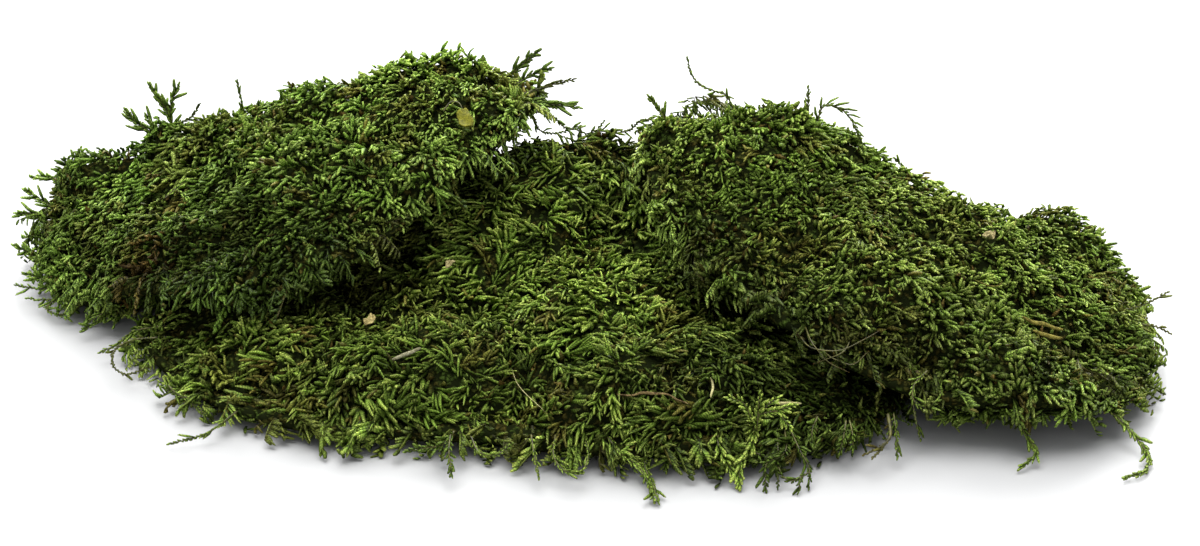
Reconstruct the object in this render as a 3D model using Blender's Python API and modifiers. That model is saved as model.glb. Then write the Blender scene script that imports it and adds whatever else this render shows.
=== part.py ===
"""Moss clump: three thick mats of feather moss heaped on a table, with dry litter caught in them.

The base mat lies flat on the table. The left and the right mat lie over its two sides, and their outer
ends and their backs come down to the table. Each mat is modelled out to the tips of its shoots, and the
wiry sprigs that stand clear of it are fused to it as thin stems. Plan sizes are in millimetres, X to the
right, Y to the back, Z up from the table, and the finished heap is moved to the middle of its footprint.
"""

import math
from dataclasses import dataclass

import bmesh
import bpy
import numpy as np
from mathutils import Vector, noise
from mathutils.bvhtree import BVHTree

MM = 0.001

# A mat is two square grids, its crown and its underside, drawn into its outline and welded at the rim.
GRID_CELLS = 26
RIM_PACKING = 0.5
RIM_ROUNDING = 3.2
RIM_HEIGHT_SHARE = 0.38
LEAST_THICKNESS = 8.0

# The underside is flat out to this much of the way to the rim.
FLAT_GAIN = 1.17

# Mats that lie on each other keep this clearance, and bridge a step this far out from it.
REST_GAP = 1.0
BRIDGE_REACH = 7.0
BRIDGE_DIRECTIONS = 12

# Tussocks are the soft lumps of the crown, and the ragged edge is the rim's own in and out.
TUSSOCK_WIDTH = 19.0
TUSSOCK_HEIGHT = 2.4
RAGGED_WIDTH = 9.0
RAGGED_DEPTH = 3.4

# A sprig is a stem this thick at its root, and its tip keeps this share of it.
SPRIG_RADIUS = 1.0
SPRIG_TIP_SHARE = 0.55

# Litter lies this far above the highest point of the mats within its reach, with a point every few mm.
LITTER_GAP = 0.5
LITTER_STEP = 2.5
SCRAP_ROWS = 5


@dataclass(frozen=True)
class Mat:
    """One mat: its plan outline, and the crown's height and the mat's thickness at points of the plan."""

    name: str
    centre: tuple
    outline: tuple
    crown: tuple
    sprigs: tuple
    noise_seed: float
    colour: tuple


BASE = Mat(
    name="base_mat",
    centre=(-18.0, 18.0),
    outline=(
        (79, -29), (92, 6), (84, 40), (57, 78), (14, 101), (-32, 101), (-72, 84), (-104, 60),
        (-129, 28), (-122, -2), (-105, -25), (-82, -41), (-46, -49), (-14, -57), (14, -60),
        (44, -58), (67, -47),
    ),
    crown=(
        (-106, -10, 16, 60), (-74, -30, 20, 60), (-34, -38, 22, 60), (10, -44, 24, 60),
        (44, -41, 21, 60), (68, -18, 15, 60), (-22, 6, 27, 60), (30, 8, 24, 60), (-62, 12, 25, 60),
        (-106, 28, 18, 60), (-14, 36, 28, 60), (22, 38, 29, 60), (-30, 76, 49, 60), (-12, 74, 50, 60),
        (30, 68, 48, 60), (-10, 92, 38, 60), (-62, 66, 36, 60), (62, 42, 30, 60),
        (82, 8, 20, 60), (-106, 46, 17, 60),
    ),
    sprigs=(
        ((-118, 6, 9), (-125, 4, 9), (-129, -3, 8), (-128, -7, 6), (-125, -9, 5), (-119, -7, 6)),
        ((-117, 14, 9), (-126, 12, 8), (-131, 9, 5), (-134, 8, 4)),
        ((-98, -24, 5), (-108, -23, 5), (-113, -20, 6)),
        ((38, -48, 9), (42, -60, 7), (41, -65, 6), (40.3, -69, 1.2)),
        ((46, -46, 9), (49, -59, 7), (51, -64, 4.4), (51, -68, 1.2)),
        ((38, -48, 13), (40, -56, 16), (43, -60, 18), (47, -61, 19.5)),
        ((3, -52, 8), (6, -60, 6.5), (10, -65, 4.6), (12.6, -72, 1.2)),
        ((29, -50, 6), (30, -61, 3), (34, -67, 1.2)),
        ((-38, -46, 8), (-37, -56, 7.4), (-36, -66, 4)),
        ((-92, -34, 6), (-100, -42, 3), (-108, -44, 1.5)),
    ),
    noise_seed=3.0,
    colour=(0.055, 0.095, 0.018, 1.0),
)

LEFT = Mat(
    name="left_mat",
    centre=(-84.0, 54.0),
    outline=(
        (-14, 65), (-17, 88), (-44, 108), (-72, 114), (-104, 115), (-140, 111), (-163, 99),
        (-164, 74), (-151, 45), (-130, 20), (-107, -1), (-90, -10), (-70, -8), (-52, 7), (-40, 20),
        (-28, 36),
    ),
    crown=(
        (-150, 68, 33, 45), (-155, 88, 36, 45), (-128, 50, 34, 45), (-130, 84, 44, 55), (-119, 89, 49, 58),
        (-138, 100, 32, 50), (-104, 30, 41, 28), (-102, 78, 52, 60), (-104, 102, 40, 60),
        (-84, 8, 42, 20), (-72, 44, 57, 30), (-72, 82, 58, 70), (-72, 104, 42, 70),
        (-56, 24, 54, 18), (-44, 58, 68, 30), (-44, 83, 64, 60), (-44, 100, 45, 60), (-32, 83, 67, 40),
        (-30, 42, 62, 16), (-22, 62, 68, 18), (-21, 80, 62, 20),
    ),
    sprigs=(
        ((-28, 82, 56), (-23, 84, 60), (-18, 84, 64.5)),
        ((-25, 74, 57), (-20, 76, 60), (-15, 77, 61.5)),
        ((-22, 68, 57), (-15, 69, 59), (-8, 70, 60.6)),
        ((-122, 90, 34), (-125, 90, 43), (-129, 90, 48), (-132, 90, 54)),
        ((-121, 91, 34), (-121, 91, 45), (-122, 91, 55)),
        ((-124, 89, 32), (-131, 89, 42), (-138, 89, 47)),
        ((-104, 88, 38), (-104, 88, 46), (-105, 88, 54)),
        ((-154, 84, 12), (-162, 84, 18), (-168, 84, 22)),
        ((-154, 88, 18), (-161, 89, 24), (-167, 90, 24)),
        ((-152, 66, 8), (-161, 66, 8), (-168, 65, 12)),
        ((-146, 54, 9), (-152, 46, 5), (-155, 40, 3), (-150, 36, 3), (-144, 38, 6)),
        ((-134, 38, 8), (-137, 30, 5), (-142, 25, 3)),
    ),
    noise_seed=11.0,
    colour=(0.035, 0.085, 0.014, 1.0),
)

RIGHT = Mat(
    name="right_mat",
    centre=(80.0, 14.0),
    outline=(
        (137, -35), (146, -10), (148, 16), (147, 42), (139, 65), (117, 79), (88, 86), (62, 92),
        (36, 90), (14, 76), (10, 46), (17, 16), (28, -6), (43, -22), (62, -39), (90, -47), (118, -47),
    ),
    crown=(
        (18, 54, 58, 30), (26, 18, 52, 24), (44, 40, 61, 40), (43, 4, 49, 27), (58, -20, 39, 25),
        (62, 46, 57, 60), (62, 74, 42, 60), (30, 78, 44, 50), (76, 52, 41, 60), (70, 12, 49, 30),
        (84, -26, 33, 26), (92, 54, 30, 50), (94, 76, 15, 40), (96, 12, 38, 40), (112, -26, 25, 21),
        (116, 54, 29, 40), (124, 70, 18, 40), (122, 10, 30, 40), (132, -18, 18, 16), (133, 46, 32, 40),
        (141, 30, 28, 40),
    ),
    sprigs=(
        ((19, 52, 52), (17, 52, 57), (14, 52, 61)),
        ((38, 50, 52), (36, 50, 60), (31, 50, 64), (27, 50, 67), (24, 50, 73)),
        ((57, 46, 54), (57, 46, 60), (57, 46, 66)),
        ((59, 46, 54), (62, 46, 61), (66, 46, 60), (70, 46, 55), (72, 46, 50)),
        ((92, 50, 32), (87, 50, 39), (82, 50, 44)),
        ((100, -38, 12), (106, -47, 6), (108, -53, 3), (104, -57, 1.5)),
        ((124, -32, 10), (132, -43, 6), (136, -52, 2), (134, -59, 1.2), (129, -62, 1.2)),
        ((136, 8, 15), (146, 8, 18), (151, 8, 21)),
        ((82, -40, 20), (78, -48, 17), (80, -51, 13), (85, -48, 11), (88, -40, 14)),
    ),
    noise_seed=23.0,
    colour=(0.045, 0.09, 0.016, 1.0),
)


@dataclass(frozen=True)
class Litter:
    """A dry bit lying on the mats: its route in plan, and its width. A stiff one stays straight."""

    name: str
    route: tuple
    width: float
    stiff: bool
    colour: tuple


STICKS = (
    Litter("pale_stick", ((-52.5, -33), (-45.2, -29.5)), 1.2, True, (0.30, 0.29, 0.20, 1.0)),
    Litter("blond_needle", ((-22, -40), (-20.5, -46), (-17, -51), (-13, -55.5)), 0.5, False,
           (0.55, 0.48, 0.25, 1.0)),
    Litter("brown_stem", ((4, -52), (11, -51.5), (17, -52.5), (22, -56)), 1.2, False,
           (0.26, 0.13, 0.07, 1.0)),
    Litter("pale_stem", ((27.5, -44), (28.2, -48), (27.2, -53)), 0.7, False, (0.40, 0.30, 0.16, 1.0)),
    Litter("dry_stalk_1", ((107, -25), (112, -24.5), (118.5, -22.5)), 1.7, False, (0.36, 0.24, 0.07, 1.0)),
    Litter("dry_stalk_2", ((109, -28.5), (113, -28.2), (118, -26.4)), 1.7, False, (0.34, 0.22, 0.07, 1.0)),
    Litter("curled_stalk", ((96, -14), (99.5, -15.5), (102.5, -14.5), (104, -11.5)), 0.8, False,
           (0.35, 0.22, 0.08, 1.0)),
    Litter("straw", ((41, -52), (50, -48.5)), 0.8, True, (0.42, 0.38, 0.16, 1.0)),
)

SCRAPS = (
    Litter("leaf_scrap", ((-60.4, -18.6), (-58.2, -14)), 3.2, True, (0.50, 0.42, 0.20, 1.0)),
    Litter("star_scrap", ((-41.5, 10), (-38.5, 12.5)), 3.0, True, (0.36, 0.28, 0.14, 1.0)),
    Litter("pale_scrap", ((101.5, 4), (103.5, 9)), 3.0, True, (0.45, 0.32, 0.18, 1.0)),
    Litter("yellow_leaf", ((-37.6, 42.2), (-36.2, 35.2)), 4.6, True, (0.40, 0.46, 0.12, 1.0)),
)


def outline_radius(mat, angle):
    """Distance from the mat's centre to its outline at each angle, a closed cubic curve through the points."""
    offsets = np.array(mat.outline, float) - np.array(mat.centre)
    angles = np.arctan2(offsets[:, 1], offsets[:, 0])
    order = np.argsort(angles)
    angles, radii = angles[order], np.hypot(offsets[:, 0], offsets[:, 1])[order]
    count = len(angles)
    knots = np.concatenate([angles - math.tau, angles, angles + math.tau])
    values = np.tile(radii, 3)
    slopes = np.gradient(values, knots)
    at = np.searchsorted(knots, angle, side="right") - 1
    at = np.clip(at, count - 1, 2 * count)
    span = knots[at + 1] - knots[at]
    t = (angle - knots[at]) / span
    from_start = (1 + 2 * t) * (1 - t) ** 2 * values[at] + t * (1 - t) ** 2 * span * slopes[at]
    from_end = t * t * (3 - 2 * t) * values[at + 1] + t * t * (t - 1) * span * slopes[at + 1]
    return from_start + from_end


def thin_plate(points, values, x, y):
    """Value at x, y of the thin plate that bends smoothly through the values at the given points."""
    known = np.array(points, float)[:, :2]

    def kernel(distance):
        return distance**2 * np.log(distance + 1e-9)

    between = np.hypot(
        known[:, None, 0] - known[None, :, 0], known[:, None, 1] - known[None, :, 1]
    )
    plane = np.column_stack([np.ones(len(known)), known])
    system = np.block([[kernel(between), plane], [plane.T, np.zeros((3, 3))]])
    weights = np.linalg.solve(system, np.concatenate([values, np.zeros(3)]))
    distance = np.hypot(x[:, None] - known[None, :, 0], y[:, None] - known[None, :, 1])
    flat = weights[-3] + weights[-2] * x + weights[-1] * y
    return kernel(distance) @ weights[:-3] + flat


def wobble(x, y, width, seed):
    """Smooth noise from -1 to 1 whose lumps are about this width."""
    return np.array([noise.noise(Vector((a / width, b / width, seed))) for a, b in zip(x, y)])


def square_to_disc(x, y):
    """A square from -1 to 1 pressed into a disc, with its grid denser towards the rim."""
    disc_x = x * np.sqrt(1 - y * y / 2)
    disc_y = y * np.sqrt(1 - x * x / 2)
    reach = np.clip(np.hypot(disc_x, disc_y), 1e-9, 1.0)
    packed = (1 - RIM_PACKING) * reach + RIM_PACKING * np.sin(reach * math.pi / 2)
    return packed, np.arctan2(disc_y, disc_x)


def support_height(supports, x, y):
    """Height in mm of what lies under x, y: the table, or the highest point nearby of the mats below."""
    height = np.zeros(len(x))
    steps = [(0.0, 0.0)]
    for ring in (0.5, 1.0):
        for turn in np.arange(BRIDGE_DIRECTIONS) * math.tau / BRIDGE_DIRECTIONS:
            reach = ring * BRIDGE_REACH
            steps.append((reach * math.cos(turn), reach * math.sin(turn)))
    for tree in supports:
        for i, (a, b) in enumerate(zip(x, y)):
            for step_x, step_y in steps:
                start = Vector(((a + step_x) * MM, (b + step_y) * MM, 1.0))
                hit = tree.ray_cast(start, Vector((0, 0, -1)))[0]
                if hit:
                    height[i] = max(height[i], hit.z / MM + REST_GAP)
    return height


def shape_grid(mat, square, supports):
    """Plan position, crown height and underside height in mm of each point of a square grid."""
    packed, angle = square_to_disc(square[:, 0], square[:, 1])
    ring_x, ring_y = np.cos(angle) * 60, np.sin(angle) * 60
    ragged = RAGGED_DEPTH * wobble(ring_x, ring_y, RAGGED_WIDTH, mat.noise_seed) * packed**6
    radius = outline_radius(mat, angle) * packed + ragged
    x = mat.centre[0] + radius * np.cos(angle)
    y = mat.centre[1] + radius * np.sin(angle)
    known = np.array(mat.crown, float)
    crown = thin_plate(known, known[:, 2], x, y)
    thickness = thin_plate(known, known[:, 3], x, y)
    crown += TUSSOCK_HEIGHT * wobble(x, y, TUSSOCK_WIDTH, mat.noise_seed + 5)
    crown += 0.4 * TUSSOCK_HEIGHT * wobble(x, y, TUSSOCK_WIDTH / 2, mat.noise_seed + 7)
    underside = np.maximum(support_height(supports, x, y), crown - thickness)
    crown = np.maximum(crown, underside + LEAST_THICKNESS)
    swell = np.clip(1 - packed**RIM_ROUNDING, 0, 1) ** (1 / 2.2)
    rim = underside + RIM_HEIGHT_SHARE * (crown - underside)
    belly = np.minimum(FLAT_GAIN * np.sqrt(swell), 1.0)
    return x, y, rim + swell * (crown - rim), rim - belly * (rim - underside)


def make_pad(mat, supports):
    """A closed pad: the crown grid and the underside grid share one rim."""
    whole = bmesh.new()
    for side in ("crown", "underside"):
        sheet = bmesh.new()
        bmesh.ops.create_grid(sheet, x_segments=GRID_CELLS, y_segments=GRID_CELLS, size=1.0)
        square = np.array([v.co[:2] for v in sheet.verts])
        x, y, crown, underside = shape_grid(mat, square, supports)
        height = crown if side == "crown" else underside
        for v, position in zip(sheet.verts, np.column_stack([x, y, height]) * MM):
            v.co = position
        if side == "underside":
            bmesh.ops.reverse_faces(sheet, faces=sheet.faces)
        half = bpy.data.meshes.new(side)
        sheet.to_mesh(half)
        sheet.free()
        whole.from_mesh(half)
        bpy.data.meshes.remove(half)
    bmesh.ops.remove_doubles(whole, verts=whole.verts, dist=0.02 * MM)
    bmesh.ops.recalc_face_normals(whole, faces=whole.faces)
    bmesh.ops.triangulate(whole, faces=whole.faces, quad_method="SHORT_EDGE")
    mesh = bpy.data.meshes.new(mat.name)
    whole.to_mesh(mesh)
    whole.free()
    return mesh


def make_tube(name, points, radii, sides_level):
    """A closed tube of four or more sides through the points, with a radius at each of them."""
    curve = bpy.data.curves.new(name, "CURVE")
    curve.dimensions = "3D"
    curve.bevel_depth = MM
    curve.bevel_resolution = sides_level
    curve.use_fill_caps = True
    spline = curve.splines.new("POLY")
    spline.points.add(len(points) - 1)
    for knot, position, radius in zip(spline.points, points, radii):
        knot.co = (*[value * MM for value in position], 1.0)
        knot.radius = radius
    holder = bpy.data.objects.new(name, curve)
    bpy.context.scene.collection.objects.link(holder)
    bpy.context.view_layer.update()
    mesh = bpy.data.meshes.new_from_object(holder.evaluated_get(bpy.context.evaluated_depsgraph_get()))
    bpy.data.objects.remove(holder)
    welded = bmesh.new()
    welded.from_mesh(mesh)
    bmesh.ops.remove_doubles(welded, verts=welded.verts, dist=0.01 * MM)
    bmesh.ops.recalc_face_normals(welded, faces=welded.faces)
    welded.to_mesh(mesh)
    welded.free()
    return mesh


def fuse_sprigs(mat, mat_object, cutters):
    """Unite each sprig's stem with the mat that it grows from."""
    for number, points in enumerate(mat.sprigs):
        name = f"{mat.name}_sprig_{number + 1}"
        radii = np.linspace(SPRIG_RADIUS, SPRIG_RADIUS * SPRIG_TIP_SHARE, len(points))
        stem = bpy.data.objects.new(name, make_tube(name, points, radii, 0))
        stem.hide_render = True
        stem.display_type = "WIRE"
        cutters.objects.link(stem)
        union = mat_object.modifiers.new(name, "BOOLEAN")
        union.operation = "UNION"
        union.solver = "EXACT"
        union.object = stem


def make_mat(mat, supports, collection, cutters):
    """The mat with its sprigs as one solid, and its tree for what is laid on it later."""
    mesh = make_pad(mat, supports)
    mesh.materials.append(plain_material(mat.name, mat.colour, 0.85))
    mat_object = bpy.data.objects.new(mat.name, mesh)
    collection.objects.link(mat_object)
    fuse_sprigs(mat, mat_object, cutters)
    bpy.context.view_layer.update()
    return BVHTree.FromObject(mat_object, bpy.context.evaluated_depsgraph_get())


def ground_height(trees, x, y, reach):
    """Height in mm of the highest mat within reach of each point of the plan."""
    height = np.zeros(len(x))
    steps = [(0.0, 0.0)]
    for turn in np.arange(BRIDGE_DIRECTIONS) * math.tau / BRIDGE_DIRECTIONS:
        steps.append((reach * math.cos(turn), reach * math.sin(turn)))
    for tree in trees:
        for i, (a, b) in enumerate(zip(x, y)):
            for step_x, step_y in steps:
                start = Vector(((a + step_x) * MM, (b + step_y) * MM, 1.0))
                hit = tree.ray_cast(start, Vector((0, 0, -1)))[0]
                if hit:
                    height[i] = max(height[i], hit.z / MM)
    return height


def lay_route(litter, trees):
    """Points in mm along the bit's route, where it clears the mats below it."""
    knots = np.array(litter.route, float)
    along = np.concatenate([[0.0], np.cumsum(np.hypot(*np.diff(knots, axis=0).T))])
    count = max(3, round(along[-1] / LITTER_STEP) + 1)
    at = np.linspace(0, along[-1], count)
    x, y = np.interp(at, along, knots[:, 0]), np.interp(at, along, knots[:, 1])
    z = ground_height(trees, x, y, litter.width / 2 + 1.5) + LITTER_GAP
    if litter.stiff:
        line = z[0] + (z[-1] - z[0]) * at / at[-1]
        z = line + np.max(z - line)
    return np.column_stack([x, y, z])


def make_stick(litter, trees, collection):
    """A stem or needle, a six-sided tube that thins to its ends."""
    route = lay_route(litter, trees)
    route[:, 2] += litter.width / 2
    along = np.linspace(-1, 1, len(route))
    radii = litter.width / 2 * (1 - 0.35 * along**4)
    mesh = make_tube(litter.name, route, radii, 1)
    mesh.materials.append(plain_material(litter.name, litter.colour, 0.8))
    collection.objects.link(bpy.data.objects.new(litter.name, mesh))


def make_scrap(litter, trees, collection):
    """A scrap of leaf, pointed at its ends, a sheet with its own thickness that follows the slope."""
    sheet = bmesh.new()
    bmesh.ops.create_grid(sheet, x_segments=SCRAP_ROWS, y_segments=2, size=1.0)
    start, end = np.array(litter.route[0], float), np.array(litter.route[1], float)
    along = (end - start) / 2
    across = np.array([-along[1], along[0]]) / np.hypot(*along) * litter.width / 2
    square = np.array([v.co[:2] for v in sheet.verts])
    breadth = np.sqrt(np.clip(1.08 - square[:, 0] ** 2, 0, 1))
    plan = (start + end) / 2 + square[:, :1] * along + (square[:, 1] * breadth)[:, None] * across
    level = (square[:, 0] + 1) / 2
    ends = ground_height(trees, *np.array(litter.route, float).T, litter.width / 2)
    height = ends[0] + (ends[1] - ends[0]) * level
    ground = ground_height(trees, plan[:, 0], plan[:, 1], litter.width / 2)
    height += max(np.max(ground - height), 0.0) + LITTER_GAP
    curl = 0.6 * square[:, 1] ** 2 + 0.5 * np.abs(square[:, 0]) ** 3
    for v, position in zip(sheet.verts, np.column_stack([plan, height + curl]) * MM):
        v.co = position
    mesh = bpy.data.meshes.new(litter.name)
    sheet.to_mesh(mesh)
    sheet.free()
    mesh.materials.append(plain_material(litter.name, litter.colour, 0.7))
    scrap = bpy.data.objects.new(litter.name, mesh)
    wall = scrap.modifiers.new("wall", "SOLIDIFY")
    wall.thickness = 0.4 * MM
    wall.offset = 1.0
    collection.objects.link(scrap)


def plain_material(name, colour, roughness):
    """A matt material of one colour, for the solid alone."""
    material = bpy.data.materials.new(name)
    material.use_nodes = True
    surface = material.node_tree.nodes["Principled BSDF"]
    surface.inputs["Base Color"].default_value = colour
    surface.inputs["Roughness"].default_value = roughness
    surface.inputs["Metallic"].default_value = 0.0
    return material


def centre_on_footprint(collection, cutters):
    """Move every piece, so that the origin is the middle of the heap's footprint, on the table."""
    depsgraph = bpy.context.evaluated_depsgraph_get()
    corners = []
    for piece in collection.objects:
        shape = piece.evaluated_get(depsgraph).to_mesh()
        corners += [vertex.co.copy() for vertex in shape.vertices]
    corners = np.array(corners)
    middle = (corners.min(axis=0) + corners.max(axis=0)) / 2
    for piece in [*collection.objects, *cutters.objects]:
        piece.location = (-middle[0], -middle[1], 0.0)


def main():
    """Build the heap from the table up."""
    for leftover in list(bpy.data.objects):
        bpy.data.objects.remove(leftover)
    collection = bpy.data.collections.new("moss_clump")
    cutters = bpy.data.collections.new("cutters")
    bpy.context.scene.collection.children.link(collection)
    bpy.context.scene.collection.children.link(cutters)
    base = make_mat(BASE, [], collection, cutters)
    left = make_mat(LEFT, [base], collection, cutters)
    right = make_mat(RIGHT, [base, left], collection, cutters)
    for litter in STICKS:
        make_stick(litter, [base, left, right], collection)
    for litter in SCRAPS:
        make_scrap(litter, [base, left, right], collection)
    centre_on_footprint(collection, cutters)


main()
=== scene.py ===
"""The look of a moss clump: three mats of feather moss, their wiry sprigs, and the dry litter on them.

Each mat is a thatch of old stems, dark in its own colour and with painted shade between them, set in from
the solid's surface, with thousands of plaited shoots growing out of it as far as that surface. Sizes are in
millimetres and become metres in the meshes.
"""

import logging
import math
from collections.abc import Iterator
from dataclasses import dataclass, field, fields
from enum import IntEnum

import bmesh
import bpy
import numpy as np
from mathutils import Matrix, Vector
from mathutils.bvhtree import BVHTree
from mathutils.kdtree import KDTree


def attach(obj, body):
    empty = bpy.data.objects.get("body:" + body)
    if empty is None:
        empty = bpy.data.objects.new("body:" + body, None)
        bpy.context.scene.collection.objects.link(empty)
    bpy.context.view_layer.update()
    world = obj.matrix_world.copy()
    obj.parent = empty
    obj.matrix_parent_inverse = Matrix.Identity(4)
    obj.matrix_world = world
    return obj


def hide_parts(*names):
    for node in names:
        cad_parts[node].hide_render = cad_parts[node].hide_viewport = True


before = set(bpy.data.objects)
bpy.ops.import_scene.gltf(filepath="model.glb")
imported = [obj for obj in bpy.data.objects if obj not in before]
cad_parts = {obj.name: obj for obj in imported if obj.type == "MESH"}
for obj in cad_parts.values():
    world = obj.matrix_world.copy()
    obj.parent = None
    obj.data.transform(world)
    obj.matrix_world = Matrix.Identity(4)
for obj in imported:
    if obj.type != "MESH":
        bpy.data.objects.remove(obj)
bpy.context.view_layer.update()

log = logging.getLogger("moss_clump")

MM = 0.001
Array = np.ndarray

# The sprigs and the soft patches are placed in the heap's own plan, whose middle is here in the frame.
PLAN_MIDDLE = np.array([8.51, -22.05, 0.0])

# In mm over the table: no point of a shoot lies lower than the first, and a shoot that starts or ends lower
# than the second is left out.
TABLE_CLEARANCE = 0.15
LOWEST_END = 0.3

# Points of a solid that are nearer to each other than this, in mm, are one point.
WELD = 0.005


class Draw(IntEnum):
    """What random numbers are drawn for, each with what it adds to a seed."""

    LITTER = 5
    LEAN = 40
    VIGOUR = 60
    HUE = 70
    VALUE = 75
    WILT = 80
    TUSSOCKS = 90
    LUMPS = 95
    EDGE = 500
    FILLING = 700
    SPRIG = 900


def srgb(code: str) -> tuple[float, float, float, float]:
    """Turn an sRGB hex colour into linear light.

    Args:
        code: six hex digits.

    Returns:
        Red, green and blue, linear, and an opacity of one.
    """
    values = [int(code[i:i + 2], 16) / 255 for i in (0, 2, 4)]
    linear = [v / 12.92 if v <= 0.04045 else ((v + 0.055) / 1.055) ** 2.4 for v in values]
    return (*linear, 1.0)


def unit(vectors: Array) -> Array:
    """Scale each row vector to length one."""
    return vectors / np.maximum(np.linalg.norm(vectors, axis=-1, keepdims=True), 1e-9)


def smoothstep(low: float, high: float, x: Array) -> Array:
    """Rise from 0 to 1 between low and high, flat at both ends."""
    t = np.clip((x - low) / (high - low), 0, 1)
    return t * t * (3 - 2 * t)


def level_with(vectors: Array, normal: Array) -> Array:
    """Take out of each vector its part along the normal."""
    return vectors - normal * np.sum(vectors * normal, axis=1, keepdims=True)


def by_turns(count: int) -> Array:
    """Send things to the left and the right by turns, and the last one straight on.

    Args:
        count: how many there are.

    Returns:
        1 for left, -1 for right, and 0 for the last.
    """
    hand = np.where(np.arange(count) % 2 == 0, 1.0, -1.0)
    hand[-1] = 0.0
    return hand


@dataclass(frozen=True)
class SoftNoise:
    """A smooth field from about -1 to 1, a sum of sine waves of random direction and phase."""

    width: float
    seed: int
    waves: int = 9

    def at(self, points: Array) -> Array:
        """Value at each point.

        Args:
            points: positions in mm, one row each.

        Returns:
            The sum of sin(k . p + phase) over the waves, scaled to run from about -1 to 1. Each wave is
            1.3 to 2.6 widths long.
        """
        rng = np.random.default_rng(self.seed)
        directions = unit(rng.normal(size=(self.waves, 3)))
        scale = math.tau / (self.width * rng.uniform(1.3, 2.6, self.waves))
        phase = rng.uniform(0, math.tau, self.waves)
        waves = np.sin(points @ (directions * scale[:, None]).T + phase)
        return waves.sum(axis=1) * math.sqrt(2 / self.waves) * 0.6

    def vectors(self, points: Array) -> Array:
        """Three such fields, as a vector at each point."""
        noises = [SoftNoise(self.width, self.seed + axis, self.waves) for axis in (1, 2, 3)]
        return np.column_stack([noise.at(points) for noise in noises])


def add_node(tree: bpy.types.NodeTree, kind: str, inputs: dict | None = None,
             stops: list[tuple[float, str]] | None = None, **settings: object) -> bpy.types.Node:
    """Add a shader node with its settings, and set or link its inputs.

    Args:
        tree: the material's node tree.
        kind: the node's type name without the ShaderNode in front.
        inputs: input name or number, to a value or to the output socket that feeds it.
        stops: a colour ramp's positions and hex colours.
        settings: the node's own properties.

    Returns:
        The node.
    """
    node = tree.nodes.new("ShaderNode" + kind)
    for name, value in settings.items():
        setattr(node, name, value)
    for key, value in (inputs or {}).items():
        if isinstance(value, bpy.types.NodeSocket):
            tree.links.new(value, node.inputs[key])
        else:
            node.inputs[key].default_value = value
    if stops:
        elements = node.color_ramp.elements
        while len(elements) < len(stops):
            elements.new(0.5)
        for element, (position, code) in zip(elements, stops):
            element.position = position
            element.color = srgb(code)
    return node


def start_material(name: str, roughness: float,
                   specular: float = 0.5) -> tuple[bpy.types.Material, bpy.types.NodeTree, bpy.types.Node]:
    """Make a material with a Principled surface.

    Args:
        name: the material's name.
        roughness: how matt it is, from 0 to 1.
        specular: how strongly it mirrors, where 0.5 is usual for a solid.

    Returns:
        The material, its node tree and its Principled node.
    """
    material = bpy.data.materials.new(name)
    material.use_nodes = True
    surface = material.node_tree.nodes["Principled BSDF"]
    surface.inputs["Roughness"].default_value = roughness
    surface.inputs["Specular IOR Level"].default_value = specular
    return material, material.node_tree, surface


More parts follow.
